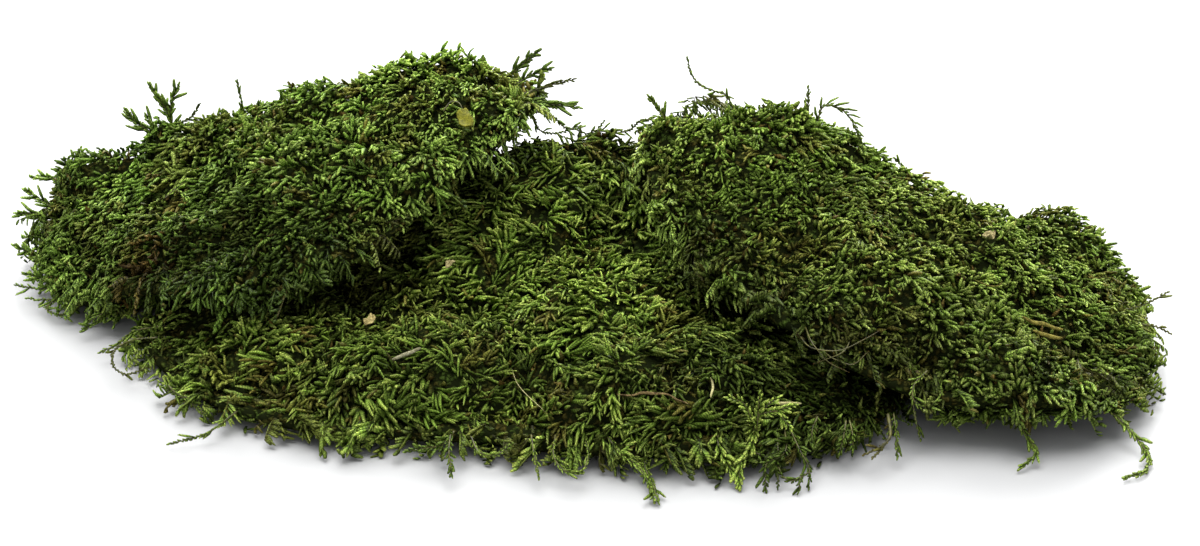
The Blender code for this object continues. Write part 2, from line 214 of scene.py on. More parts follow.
@dataclass(frozen=True)
class MossFinish:
    """Living feather moss: thin overlapping leaves, matt, with a faint satin gloss and painted glints.

    Thin is the share of the light that the leaves let through, which warms the shade between the shoots.
    Bright is what the darkest and the brightest shoot's colour is multiplied by; the shoots' value that it
    reads holds their own tone and also painted light and shade. Scales is what a leaf's colour is multiplied
    by from
    its base to its tip: painted shade under the leaf before it, then a painted highlight at its tip. Mottle
    is what the specks' is, partly random tone and partly painted glints. Specks lie that many to the mm, and
    relief is how far in mm the leaves seem to stand out.
    """

    name: str
    deep: str
    leaf: str
    tip: str
    dry: str = "5f4d24"
    roughness: float = 0.5
    specular: float = 0.12
    thin: float = 0.3
    bright: tuple[float, float] = (0.45, 2.3)
    scales: tuple[float, float] = (0.45, 1.6)
    mottle: tuple[float, float] = (0.55, 1.45)
    specks: float = 2.2
    relief: float = 0.35

    def material(self) -> bpy.types.Material:
        """Colour from root to tip, with each shoot's own hue, and a scale-like relief of its leaves.

        The deep colour at the root is partly older growth and partly painted shade deep in the moss, and each
        leaf is painted darker at its base and lighter at its tip, as shade and a highlight.

        Returns:
            The material. It reads the shoots' own attributes: growth (along, hue, value, age) and leaves.
        """
        material, tree, surface = start_material(self.name, self.roughness, self.specular)
        growth = add_node(tree, "Attribute", attribute_name="growth")
        parts = add_node(tree, "SeparateColor", {0: growth.outputs["Color"]})
        along, hue, value = parts.outputs[0], parts.outputs[1], parts.outputs[2]
        # The deep colour at the root is partly older growth and partly painted shade deep in the moss.
        stops = [(0.0, self.deep), (0.4, self.leaf), (1.0, self.leaf)]
        green = add_node(tree, "ValToRGB", {0: along}, stops).outputs[0]
        stops = [(0.0, self.deep), (0.4, self.leaf), (0.85, self.tip)]
        light = add_node(tree, "ValToRGB", {0: along}, stops).outputs[0]
        living = add_node(tree, "Mix", {0: hue, 6: green, 7: light}, data_type="RGBA").outputs[2]
        coloured = add_node(tree, "Mix", {0: growth.outputs["Alpha"], 6: living, 7: srgb(self.dry)},
                            data_type="RGBA").outputs[2]
        leaves = add_node(tree, "Attribute", attribute_name="leaves").outputs["Fac"]
        # Each leaf is painted darker at its base, shade under the leaf before it, and lighter at its tip, a
        # highlight.
        scale = add_node(tree, "Math", {0: leaves}, operation="FRACT").outputs[0]
        low, high = self.scales
        shade = add_node(tree, "MapRange", {0: scale, 1: 0.1, 2: 0.95, 3: low, 4: high}).outputs[0]
        # Fine specks, partly random tone and partly painted glints on the leaves.
        place = add_node(tree, "TexCoord").outputs["Object"]
        tone_and_glint_noise = {"Vector": place, "Scale": self.specks / MM, "Detail": 2.0}
        speck = add_node(tree, "TexNoise", tone_and_glint_noise).outputs["Fac"]
        low, high = self.mottle
        mottle = add_node(tree, "MapRange", {0: speck, 1: 0.3, 2: 0.7, 3: low, 4: high}).outputs[0]
        # The shoots' value holds their own tone and also the painted light and shade of lumps, hollows and
        # patches.
        low, high = self.bright
        bright = add_node(tree, "MapRange", {0: value, 3: low, 4: high}).outputs[0]
        gain = add_node(tree, "Math", {0: shade, 1: bright}, operation="MULTIPLY").outputs[0]
        gain = add_node(tree, "Math", {0: gain, 1: mottle}, operation="MULTIPLY").outputs[0]
        final = add_node(tree, "VectorMath", {0: coloured, 1: gain}, operation="MULTIPLY").outputs[0]
        bump = {"Strength": 1.0, "Distance": self.relief * MM, "Height": scale}
        tree.links.new(final, surface.inputs["Base Color"])
        tree.links.new(add_node(tree, "Bump", bump).outputs[0], surface.inputs["Normal"])
        through = add_node(tree, "BsdfTranslucent", {"Color": final})
        both = add_node(tree, "MixShader", {0: self.thin, 1: surface.outputs[0], 2: through.outputs[0]})
        tree.links.new(both.outputs[0], tree.nodes["Material Output"].inputs["Surface"])
        return material


@dataclass(frozen=True)
class ThatchFinish:
    """The mat's inside: old stems and leaf mould with a few dim green shoots, rough and dull.

    Cells, clods and bends lie that many to the mm, and relief is how far in mm the cells seem to stand out.
    Dark is the colour at the cells' edges, painted shade between the shoots deep inside.
    """

    name: str
    dark: str = "14180a"
    light: str = "453f1c"
    green: str = "3f5020"
    cells: float = 0.65
    clods: float = 0.17
    bends: float = 0.5
    relief: float = 1.0

    def material(self) -> bpy.types.Material:
        """Cells about 1.5 mm wide, pushed about by 2 mm, stand for the shoots deep inside, on 6 mm clods.
        Each cell darkens to its edge, painted shade between those shoots.

        Returns:
            The material.
        """
        material, tree, surface = start_material(self.name, roughness=1.0, specular=0.0)
        place = add_node(tree, "TexCoord").outputs["Object"]
        small = {"Vector": place, "Scale": self.bends / MM, "Detail": 2.0}
        large = {"Vector": place, "Scale": self.clods / MM, "Detail": 3.0}
        bent = add_node(tree, "TexNoise", small).outputs["Color"]
        warped = add_node(tree, "VectorMath", {0: bent, 1: (2 * MM, 2 * MM, 2 * MM), 2: place},
                          operation="MULTIPLY_ADD").outputs[0]
        cells = add_node(tree, "TexVoronoi", {"Vector": warped, "Scale": self.cells / MM}).outputs["Distance"]
        clods = add_node(tree, "TexNoise", large).outputs["Fac"]
        hue = add_node(tree, "MapRange", {0: clods, 1: 0.4, 2: 0.6}).outputs[0]
        tones = {0: hue, 6: srgb(self.light), 7: srgb(self.green)}
        tone = add_node(tree, "Mix", tones, data_type="RGBA").outputs[2]
        # Each cell darkens towards its edge: painted shade in the gaps between the deep shoots.
        shade = add_node(tree, "MapRange", {0: cells, 1: 0.15, 2: 0.6, 3: 1.0, 4: 0.0}).outputs[0]
        colour = add_node(tree, "Mix", {0: shade, 6: srgb(self.dark), 7: tone}, data_type="RGBA").outputs[2]
        bump = {"Strength": 1.0, "Distance": self.relief * MM, "Height": shade}
        tree.links.new(colour, surface.inputs["Base Color"])
        tree.links.new(add_node(tree, "Bump", bump).outputs[0], surface.inputs["Normal"])
        return material


@dataclass(frozen=True)
class StemFinish:
    """The thin stem of a moss shoot: wiry, brown-green and faintly shiny. Blots lie that many to the mm."""

    name: str
    dark: str = "2a2a10"
    light: str = "5d5a24"
    blots: float = 0.5

    def material(self) -> bpy.types.Material:
        """Mottled along its length by blots about 2 mm long.

        Returns:
            The material.
        """
        material, tree, surface = start_material(self.name, roughness=0.6)
        place = add_node(tree, "TexCoord").outputs["Object"]
        mottle = {"Vector": place, "Scale": self.blots / MM, "Detail": 3.0}
        blots = add_node(tree, "TexNoise", mottle).outputs["Fac"]
        colour = add_node(tree, "ValToRGB", {0: blots}, [(0.35, self.dark), (0.65, self.light)]).outputs[0]
        tree.links.new(colour, surface.inputs["Base Color"])
        return material


@dataclass
class Shoots:
    """Many leafy shoots, one row each: where they start, how they run, and how they are coloured."""

    root: Array
    heading: Array
    bend: Array
    flat: Array
    length: Array
    width: Array
    growth: Array

    @staticmethod
    def joined(groups: list["Shoots"]) -> "Shoots":
        """Put several groups of shoots together."""
        names = [column.name for column in fields(Shoots)]
        return Shoots(*[np.concatenate([getattr(group, name) for group in groups]) for name in names])

    def part(self, keep: Array) -> "Shoots":
        """Only the shoots that keep selects."""
        return Shoots(*[getattr(self, column.name)[keep] for column in fields(self)])

    def tips(self) -> Array:
        """Where the shoots end, in mm."""
        return self.root + self.length[:, None] * (self.heading + self.bend)

    def above_table(self) -> "Shoots":
        """Only the shoots that start and end above the table."""
        return self.part((self.root[:, 2] > LOWEST_END) & (self.tips()[:, 2] > LOWEST_END))

    def __len__(self) -> int:
        """How many shoots there are."""
        return len(self.root)


@dataclass(frozen=True)
class ShootShape:
    """A plaited shoot: a flattened three-sided stem whose edges step in and out, leaf by leaf.

    Last is where its last ring stands, as a share of its length. Thickness is its height and tooth the steps
    of its edges, both as shares of half its width. Leaf spacing is in mm.
    """

    rings: int = 3
    last: float = 0.9
    thickness: float = 0.6
    tooth: float = 0.2
    leaf_spacing: float = 0.65

    def shares(self) -> Array:
        """Where the rings stand along the shoot, from 0 at its root towards 1 at its tip."""
        return np.linspace(0, self.last, self.rings)

    def points(self, shoots: Shoots) -> Array:
        """Work out the shoots' points.

        A shoot's middle runs from its root as root + length (heading t + bend t squared), t from 0 to 1.
        Round it stand rings of three points, on the ridge and on the two edges, at half the width times a
        bud-shaped profile: thin at the root, full at two fifths, and blunt at the tip. The left and the
        right edge step in and out by turns, as the leaves do.

        Args:
            shoots: the shoots.

        Returns:
            Positions in mm, one row of points for each shoot, with its tip as the last of them.
        """
        share = self.shares()
        t = share[None, :, None]
        length = shoots.length[:, None, None]
        middle = shoots.root[:, None] + length * (shoots.heading[:, None] * t + shoots.bend[:, None] * t * t)
        tangent = unit(shoots.heading[:, None] + 2 * t * shoots.bend[:, None])
        across = unit(np.cross(tangent, shoots.flat[:, None]))
        ridge = np.cross(across, tangent)
        profile = np.interp(share, [0, 0.15, 0.4, 0.75, 0.9], [0.55, 0.85, 1.0, 0.9, 0.66])
        half = shoots.width[:, None, None] / 2 * profile[None, :, None]
        step = self.tooth * np.where(np.arange(self.rings) % 2 == 0, 1.0, -1.0)[None, :, None]
        rings = np.stack([
            middle + ridge * half * self.thickness * 1.3,
            middle + across * half * (1 + step) - ridge * half * self.thickness * 0.5,
            middle - across * half * (1 - step) - ridge * half * self.thickness * 0.5,
        ], axis=2)
        return np.concatenate([rings.reshape(len(shoots), -1, 3), shoots.tips()[:, None]], axis=1)

    def faces(self, count: int) -> tuple[Array, Array]:
        """Number the faces: quads from ring to ring, a triangle at the root, and three round the tip.

        Args:
            count: how many shoots there are.

        Returns:
            Quads and triangles as point numbers.
        """
        per = self.rings * 3 + 1
        start = np.arange(count)[:, None, None] * per
        ring = np.arange(self.rings - 1)[None, :, None] * 3
        side = np.arange(3)[None, None, :]
        after = (side + 1) % 3
        quads = np.stack([start + ring + side, start + ring + after, start + ring + 3 + after,
                          start + ring + 3 + side], axis=-1)
        last = (self.rings - 1) * 3
        tips = np.stack([start[:, 0] + last + side[0], start[:, 0] + last + after[0],
                         np.broadcast_to(start[:, 0] + per - 1, (count, 3))], axis=-1)
        caps = start[:, 0] + np.array([2, 1, 0])
        return quads.reshape(-1, 4), np.concatenate([tips.reshape(-1, 3), caps])

    def tints(self, shoots: Shoots) -> tuple[Array, Array]:
        """Give each point its colours and its leaf phase.

        The phase counts leaves along the shoot. It lags at the edges, at the right one by half a leaf more,
        so that the pattern is plaited. It starts at a different share of a leaf on each shoot, and far
        enough above 0 that it never falls below.

        Args:
            shoots: the shoots.

        Returns:
            Growth colours (along, hue, value, age) and the leaf phase, one row for each point.
        """
        per = self.rings * 3 + 1
        along = np.broadcast_to(np.append(np.repeat(self.shares(), 3), 1.0), (len(shoots), per))
        growth = np.repeat(shoots.growth[:, None], per, axis=1)
        growth[..., 0] = along
        edge = np.append(np.tile([0.0, 0.6, 1.1], self.rings), 0.0)
        phase = along * shoots.length[:, None] / self.leaf_spacing - edge[None] + 40 + shoots.root[:, :1] % 1
        return growth.reshape(-1, 4), phase.reshape(-1)


def mesh_from_arrays(name: str, points: Array, quads: Array, triangles: Array) -> bpy.types.Mesh:
    """Make a mesh from whole arrays.

    Args:
        name: the mesh's name.
        points: positions in mm.
        quads: point numbers of the four-sided faces.
        triangles: point numbers of the three-sided faces.

    Returns:
        The mesh, in metres.
    """
    mesh = bpy.data.meshes.new(name)
    mesh.vertices.add(len(points))
    mesh.vertices.foreach_set("co", (points * MM).astype(np.float32).ravel())
    corners = np.concatenate([quads.ravel(), triangles.ravel()]).astype(np.int32)
    sizes = np.concatenate([np.full(len(quads), 4), np.full(len(triangles), 3)])
    mesh.loops.add(len(corners))
    mesh.loops.foreach_set("vertex_index", corners)
    mesh.polygons.add(len(sizes))
    mesh.polygons.foreach_set("loop_start", (np.cumsum(sizes) - sizes).astype(np.int32))
    mesh.update(calc_edges=True)
    return mesh


def add_object(name: str, data: bpy.types.ID) -> bpy.types.Object:
    """Put an object into the scene, at the origin and unturned.

    Args:
        name: the object's name.
        data: its mesh, light or camera.

    Returns:
        The object.
    """
    added = bpy.data.objects.new(name, data)
    bpy.context.scene.collection.objects.link(added)
    return added


def add_piece(name: str, mesh: bpy.types.Mesh, material: bpy.types.Material) -> bpy.types.Object:
    """Put a finished mesh into the scene as a piece of the object.

    Args:
        name: the piece's name.
        mesh: its mesh, in place.
        material: its finish.

    Returns:
        The piece, riding on the one body.
    """
    mesh.materials.clear()
    mesh.materials.append(material)
    mesh.shade_smooth()
    piece = add_object(name, mesh)
    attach(piece, "root")
    mesh.calc_loop_triangles()
    log.info("%s: %d triangles", name, len(mesh.loop_triangles))
    return piece


def add_shoots(name: str, shoots: Shoots, shape: ShootShape, material: bpy.types.Material) -> None:
    """Make one piece of many shoots.

    Args:
        name: the piece's name.
        shoots: the shoots.
        shape: how a shoot is formed.
        material: the moss finish.
    """
    points = shape.points(shoots).reshape(-1, 3)
    points[:, 2] = np.maximum(points[:, 2], TABLE_CLEARANCE)
    mesh = mesh_from_arrays(name, points, *shape.faces(len(shoots)))
    growth, leaves = shape.tints(shoots)
    tint = mesh.attributes.new("growth", "FLOAT_COLOR", "POINT")
    tint.data.foreach_set("color", growth.astype(np.float32).ravel())
    phase = mesh.attributes.new("leaves", "FLOAT", "POINT")
    phase.data.foreach_set("value", leaves.astype(np.float32))
    add_piece(name, mesh, material)


def welded(node: str) -> bmesh.types.BMesh:
    """Copy a solid of the frame and merge its doubled points.

    Args:
        node: the solid's name.

    Returns:
        The copy, which is the caller's to free.
    """
    body = bmesh.new()
    body.from_mesh(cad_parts[node].data)
    bmesh.ops.remove_doubles(body, verts=body.verts, dist=WELD * MM)
    return body


def modified(body: bmesh.types.BMesh, name: str, kind: str, **settings: object) -> bpy.types.Mesh:
    """Send a body through a modifier.

    Args:
        body: the body, which is freed.
        name: the new mesh's name.
        kind: the modifier's type.
        settings: the modifier's own properties.

    Returns:
        The mesh that comes out.
    """
    mesh = bpy.data.meshes.new(name)
    body.to_mesh(mesh)
    body.free()
    holder = add_object(name, mesh)
    modifier = holder.modifiers.new(name, kind)
    for key, value in settings.items():
        setattr(modifier, key, value)
    bpy.context.view_layer.update()
    result = bpy.data.meshes.new_from_object(holder.evaluated_get(bpy.context.evaluated_depsgraph_get()))
    bpy.data.objects.remove(holder)
    bpy.data.meshes.remove(mesh)
    return result


def read_rows(mesh: bpy.types.Mesh, what: str) -> Array:
    """Read the positions or the normals of a mesh's points.

    Args:
        mesh: the mesh.
        what: co for the positions, in metres, or normal.

    Returns:
        One row for each point.
    """
    rows = np.empty(len(mesh.vertices) * 3, np.float32)
    mesh.vertices.foreach_get(what, rows)
    return rows.reshape(-1, 3).astype(float)


def move_points(mesh: bpy.types.Mesh, points: Array) -> None:
    """Move a mesh's points to new places in mm."""
    mesh.vertices.foreach_set("co", (points * MM).astype(np.float32).ravel())
    mesh.update()


class MatSurface:
    """The outer form of one mat, taken from its solid with the thin sprigs smoothed away.

    The tree is the solid's own, and the smooth tree the form's.
    """

    # Candidates to each square of the spacing when points are spread, and the thickness in mm of a mat whose
    # far side isn't found.
    CROWD = 4.5
    THICK = 30.0

    def __init__(self, node: str, voxel: float = 3.0, rounds: int = 3) -> None:
        """Copy the solid, weld it, remesh it evenly, keep its largest body and smooth it.

        Args:
            node: the solid's name.
            voxel: the remeshed faces' size in mm.
            rounds: how often it is smoothed.
        """
        body = welded(node)
        self.tree = BVHTree.FromBMesh(body)
        self.mesh = modified(body, node + "_form", "REMESH", mode="VOXEL", voxel_size=voxel * MM)
        form = bmesh.new()
        form.from_mesh(self.mesh)
        self.keep_largest(form)
        for _ in range(rounds):
            bmesh.ops.smooth_vert(form, verts=form.verts, factor=0.5,
                                  use_axis_x=True, use_axis_y=True, use_axis_z=True)
        bmesh.ops.triangulate(form, faces=form.faces)
        form.to_mesh(self.mesh)
        form.free()
        self.read()

    @staticmethod
    def keep_largest(form: bmesh.types.BMesh) -> None:
        """Delete every loose body but the one with the most points.

        Args:
            form: the bodies, which are changed.
        """
        seen: set[int] = set()
        groups: list[list[bmesh.types.BMVert]] = []
        form.verts.ensure_lookup_table()
        for first in form.verts:
            if first.index in seen:
                continue
            group, heap = [], [first]
            seen.add(first.index)
            while heap:
                vert = heap.pop()
                group.append(vert)
                for edge in vert.link_edges:
                    other = edge.other_vert(vert)
                    if other.index not in seen:
                        seen.add(other.index)
                        heap.append(other)
            groups.append(group)
        groups.sort(key=len)
        for group in groups[:-1]:
            bmesh.ops.delete(form, geom=group, context="VERTS")

    def read(self) -> None:
        """Take the mesh's points, normals and triangles as arrays in mm."""
        self.points = read_rows(self.mesh, "co") / MM
        self.normals = read_rows(self.mesh, "normal")
        corners = np.empty(len(self.mesh.polygons) * 3, np.int32)
        self.mesh.polygons.foreach_get("vertices", corners)
        self.triangles = corners.reshape(-1, 3)
        self.smooth_tree = BVHTree.FromPolygons((self.points * MM).tolist(), self.triangles.tolist())
        a, b, c = (self.points[self.triangles[:, i]] for i in range(3))
        self.areas = np.linalg.norm(np.cross(b - a, c - a), axis=1) / 2

    def scatter(self, count: int, rng: np.random.Generator) -> tuple[Array, Array]:
        """Spread points evenly over the surface.

        Args:
            count: how many points.
            rng: the random numbers.

        Returns:
            Positions in mm and unit normals.
        """
        pick = rng.choice(len(self.triangles), count, p=self.areas / self.areas.sum())
        u, v = rng.random((2, count))
        flip = u + v > 1
        u, v = np.where(flip, 1 - u, u), np.where(flip, 1 - v, v)
        weights = np.stack([1 - u - v, u, v], axis=1)[..., None]
        corners = self.triangles[pick]
        place = (self.points[corners] * weights).sum(axis=1)
        return place, unit((self.normals[corners] * weights).sum(axis=1))

    def spread(self, spacing: float, rng: np.random.Generator) -> tuple[Array, Array]:
        """Spread points over the surface with none nearer than the spacing to another.

        Args:
            spacing: least distance in mm.
            rng: the random numbers.

        Returns:
            Positions in mm and unit normals.
        """
        place, normal = self.scatter(int(self.CROWD * self.areas.sum() / spacing**2), rng)
        cells: dict[tuple[int, int, int], list[int]] = {}
        around = [(i, j, k) for i in (-1, 0, 1) for j in (-1, 0, 1) for k in (-1, 0, 1)]
        chosen = []
        for index, point in enumerate(place):
            x, y, z = (int(v) for v in point // spacing)
            near = [n for i, j, k in around for n in cells.get((x + i, y + j, z + k), ())]
            if not near or np.min(np.sum((place[near] - point) ** 2, axis=1)) > spacing**2:
                cells.setdefault((x, y, z), []).append(index)
                chosen.append(index)
        return place[chosen], normal[chosen]

    @staticmethod
    def rays_in(place: Array, normal: Array, under: float = 0.1) -> Iterator[tuple[Vector, Vector]]:
        """Rays straight into the mat, whose starts lie under the surface so that they don't meet it."""
        starts = (place - under * normal) * MM
        return ((Vector(start), Vector(way)) for start, way in zip(starts, -normal))

    def thickness(self) -> Array:
        """Measure the mat with a ray straight in from each of the form's points.

        Returns:
            How far in mm each ray runs before it leaves the mat.
        """
        rays = self.rays_in(self.points, self.normals)
        hits = [self.smooth_tree.ray_cast(start, way)[3] for start, way in rays]
        return np.array([self.THICK * MM if hit is None else hit for hit in hits]) / MM

    def thick_under(self, place: Array, normal: Array, least: float = 4.0) -> Array:
        """Tell where the mat is thicker than the least, in mm, and so bears moss, unlike sprigs' stems."""
        rays = self.rays_in(place, normal)
        return np.array([self.smooth_tree.ray_cast(start, way, least * MM)[0] is None for start, way in rays])

    def nearest(self, points: Array) -> tuple[Array, Array]:
        """Find the surface's nearest place to each point.

        Args:
            points: positions in mm.

        Returns:
            The places on the surface in mm, and the unit normals there.
        """
        found = [self.smooth_tree.find_nearest(Vector(p)) for p in points * MM]
        place = np.array([hit[0] for hit in found]) / MM
        corners = self.triangles[[hit[2] for hit in found]]
        return place, unit(self.normals[corners].mean(axis=1))


def open_to_air(place: Array, normal: Array, trees: list[BVHTree]) -> Array:
    """Tell which points can be seen from somewhere above the table.

    Args:
        place: positions in mm.
        normal: unit normals there.
        trees: the solids that may hide them.

    Returns:
        True where a ray from just outside the point gets away, straight up or one of eight ways at a low
        slope.
    """
    outside, sideways, upwards = 1.5, 0.92, 0.38
    ways = [Vector((0, 0, 1))]
    for angle in np.arange(8) * math.tau / 8:
        ways.append(Vector((math.cos(angle) * sideways, math.sin(angle) * sideways, upwards)))
    seen = np.zeros(len(place), bool)
    for number, start in enumerate((place + normal * outside) * MM):
        origin = Vector(start)
        seen[number] = any(not any(tree.ray_cast(origin, way)[0] for tree in trees) for way in ways)
    return seen


def pressed_by_litter(points: Array, reach: float = 3.0) -> Array:
    """How far dry litter presses the moss down at each point, 1 under it and 0 well past its reach in mm."""
    found = [LITTER_TREE.find(Vector(point))[2] for point in points * MM]
    return np.exp(-((np.array(found) / MM / reach) ** 2))


def smooth_route(knots: Array, count: int) -> Array:
    """Run a smooth curve through points.

    Args:
        knots: the points in mm, one row each.
        count: how many points to return.

    Returns:
        Points evenly spaced along the cubic curve whose slope at each knot is that of its two neighbours.
    """
    chord = np.concatenate([[0.0], np.cumsum(np.linalg.norm(np.diff(knots, axis=0), axis=1))])
    slopes = np.gradient(knots, chord, axis=0)
    at = np.linspace(0, chord[-1], count)
    k = np.clip(np.searchsorted(chord, at, side="right") - 1, 0, len(knots) - 2)
    span = (chord[k + 1] - chord[k])[:, None]
    t = (at - chord[k])[:, None] / span
    start = (1 + 2 * t) * (1 - t) ** 2 * knots[k] + t * (1 - t) ** 2 * span * slopes[k]
    end = t * t * (3 - 2 * t) * knots[k + 1] + t * t * (t - 1) * span * slopes[k + 1]
    return start + end


def tube(route: Array, radius: Array, sides: int = 5) -> tuple[Array, Array]:
    """Carry a circle along a route.

    Args:
        route: the middle line in mm.
        radius: the radius at each of its points.
        sides: how many sides the circle has.

    Returns:
        Points, and quads as point numbers. Each point is route + radius (across cos a + over sin a), where
        across is square to the route and to an axis that no route follows. The ends shrink to almost
        nothing, which closes the tube.
    """
    askew, closed = np.array([0.31, 0.17, 0.93]), 0.02
    tangent = unit(np.gradient(route, axis=0))
    across = unit(np.cross(tangent, askew))
    over = np.cross(tangent, across)
    turn = np.arange(sides) * math.tau / sides
    circle = across[:, None] * np.cos(turn)[None, :, None] + over[:, None] * np.sin(turn)[None, :, None]
    radius = radius.copy()
    radius[[0, -1]] = closed
    points = route[:, None] + circle * radius[:, None, None]
    ring = np.arange(len(route) - 1)[:, None] * sides
    side = np.arange(sides)[None]
    after = (side + 1) % sides
    quads = np.stack([ring + side, ring + after, ring + sides + after, ring + sides + side], axis=-1)
    return points.reshape(-1, 3), quads.reshape(-1, 4)


def joined_surfaces(surfaces: list[tuple[Array, Array]]) -> tuple[Array, Array]:
    """Put several surfaces of points and quads together as one."""
    offset = np.cumsum([0] + [len(points) for points, _ in surfaces[:-1]])
    return (np.concatenate([points for points, _ in surfaces]),
            np.concatenate([quads + start for (_, quads), start in zip(surfaces, offset)]))


@dataclass(frozen=True)
class Sprig:
    """A thin stem that stands clear of its mat, with small leaves along it and a few branchlets.

    The route is in the plan's mm. Leaf, spacing and width are the small leaves' length, distance and width,
    and turn is their angle from the stem in degrees. Branch is the branchlets' length, and one leaf in every
    so many is a branchlet. Bare is the share of the stem without leaves, and radius the stem's at its foot.
    Hue, value and age colour the leaves as they do a mat's shoots.
    """

    route: tuple[tuple[float, float, float], ...]
    leaf: float = 1.4
    spacing: float = 0.55
    width: float = 0.62
    turn: float = 26.0
    branch: float = 3.4
    every: int = 9
    bare: float = 0.05
    radius: float = 0.26
    hue: float = 0.45
    value: float = 0.5
    age: float = 0.0

    def line(self) -> Array:
        """Run the stem's middle line through its route.

        Returns:
            Positions in mm, one for each leaf.
        """
        knots = np.array(self.route, float) + PLAN_MIDDLE
        length = np.linalg.norm(np.diff(knots, axis=0), axis=1).sum()
        return smooth_route(knots, max(6, int(length / self.spacing)))

    def stem(self) -> tuple[Array, Array]:
        """The stem's surface, thinner towards its tip."""
        line = self.line()
        return tube(line, np.linspace(self.radius, self.radius * 0.45, len(line)))

    def leaves(self, seed: int) -> Shoots:
        """Set leaves along the stem, to its left and right by turns, with longer branchlets among them.

        Args:
            seed: for the random numbers.

        Returns:
            The leaves. Each is turned away from the stem, unevenly, and the last one points on along it. The
            branchlets are turned further, and are wider.
        """
        rng = np.random.default_rng(Draw.SPRIG + seed)
        further, uneven, wider = 14, 7, 1.35
        line = self.line()
        count = len(line)
        tangent = unit(np.gradient(line, axis=0))
        along = np.linspace(0, 1, count)
        number = np.arange(count)
        longer = (number % self.every == self.every - 3) & (along < 0.9)
        across = unit(np.cross(tangent, np.array([0.1, -1.0, 0.25])))
        over = np.cross(across, tangent)
        roll = rng.normal(0, 0.6, count)[:, None]
        side = across * np.cos(roll) + over * np.sin(roll)
        angle = np.where(longer, self.turn + further, self.turn)
        turn = (np.radians(rng.normal(angle, uneven, count)) * by_turns(count))[:, None]
        heading = tangent * np.cos(turn) + side * np.sin(turn)
        branchlet = self.branch * rng.uniform(0.6, 1.25, count)
        size = np.where(longer, branchlet, self.leaf * rng.uniform(0.7, 1.2, count))
        length = size * np.interp(along, [0, 0.4, 1.0], [0.9, 1.0, 0.75])
        bend = 0.3 * tangent + 0.1 * rng.normal(size=(count, 3))
        growth = np.tile([0.0, self.hue, self.value, self.age], (count, 1))
        growth[:, 1:3] += 0.08 * rng.normal(size=(count, 2))
        width = self.width * np.where(longer, wider, 1.0)
        flat = unit(over + 0.3 * rng.normal(size=(count, 3)))
        leaves = Shoots(line, heading, bend, flat, length, width, np.clip(growth, 0, 1))
        return leaves.part(along >= self.bare)


@dataclass(frozen=True)
class Patch:
    """A patch of a mat that differs: more yellow, brighter or browner than the rest, or sunk into it.

    Centre, radius and sink are in mm, the centre in the plan. Hue, value and age are added to the fronds'.
    """

    centre: tuple[float, float]
    radius: float
    hue: float = 0.0
    value: float = 0.0
    age: float = 0.0
    sink: float = 0.0

    def near(self, points: Array) -> Array:
        """How far each point is in the patch, from 1 at its middle to 0 well outside it."""
        plan = points[:, :2] - PLAN_MIDDLE[:2]
        return np.exp(-np.sum((plan - self.centre) ** 2, axis=1) / self.radius**2)


@dataclass(frozen=True)
class FrondHabit:
    """How a mat's fronds grow: their sizes in mm, how closely they stand, and how they lean.

    Frond and shoot are a frond's and a shoot's least and greatest lengths, and width a shoot's widths.
    Spacing and tussock are how far apart the fronds and the tussocks stand. Comb is the way in which all
    fronds are combed, and downhill how much they turn down the slope. Per frond is how many shoots a frond
    has, and rings how many rings a shoot has. Rise is how steeply the side shoots leave the mat, in degrees,
    and standing the share of fronds that rise more. Stray is about how far in mm a shoot's root stands off
    its frond's stem.
    """

    frond: tuple[float, float]
    shoot: tuple[float, float]
    width: tuple[float, float]
    spacing: float
    tussock: float
    comb: tuple[float, float, float]
    rise: float = 38.0
    per_frond: int = 10
    downhill: float = 0.8
    rings: int = 3
    standing: float = 0.25
    stray: float = 0.45

    def shares(self) -> Array:
        """Where a frond's shoots stand along its stem, of which the first becomes its midrib."""
        return np.append(0.0, np.linspace(0.06, 1.0, self.per_frond - 1))


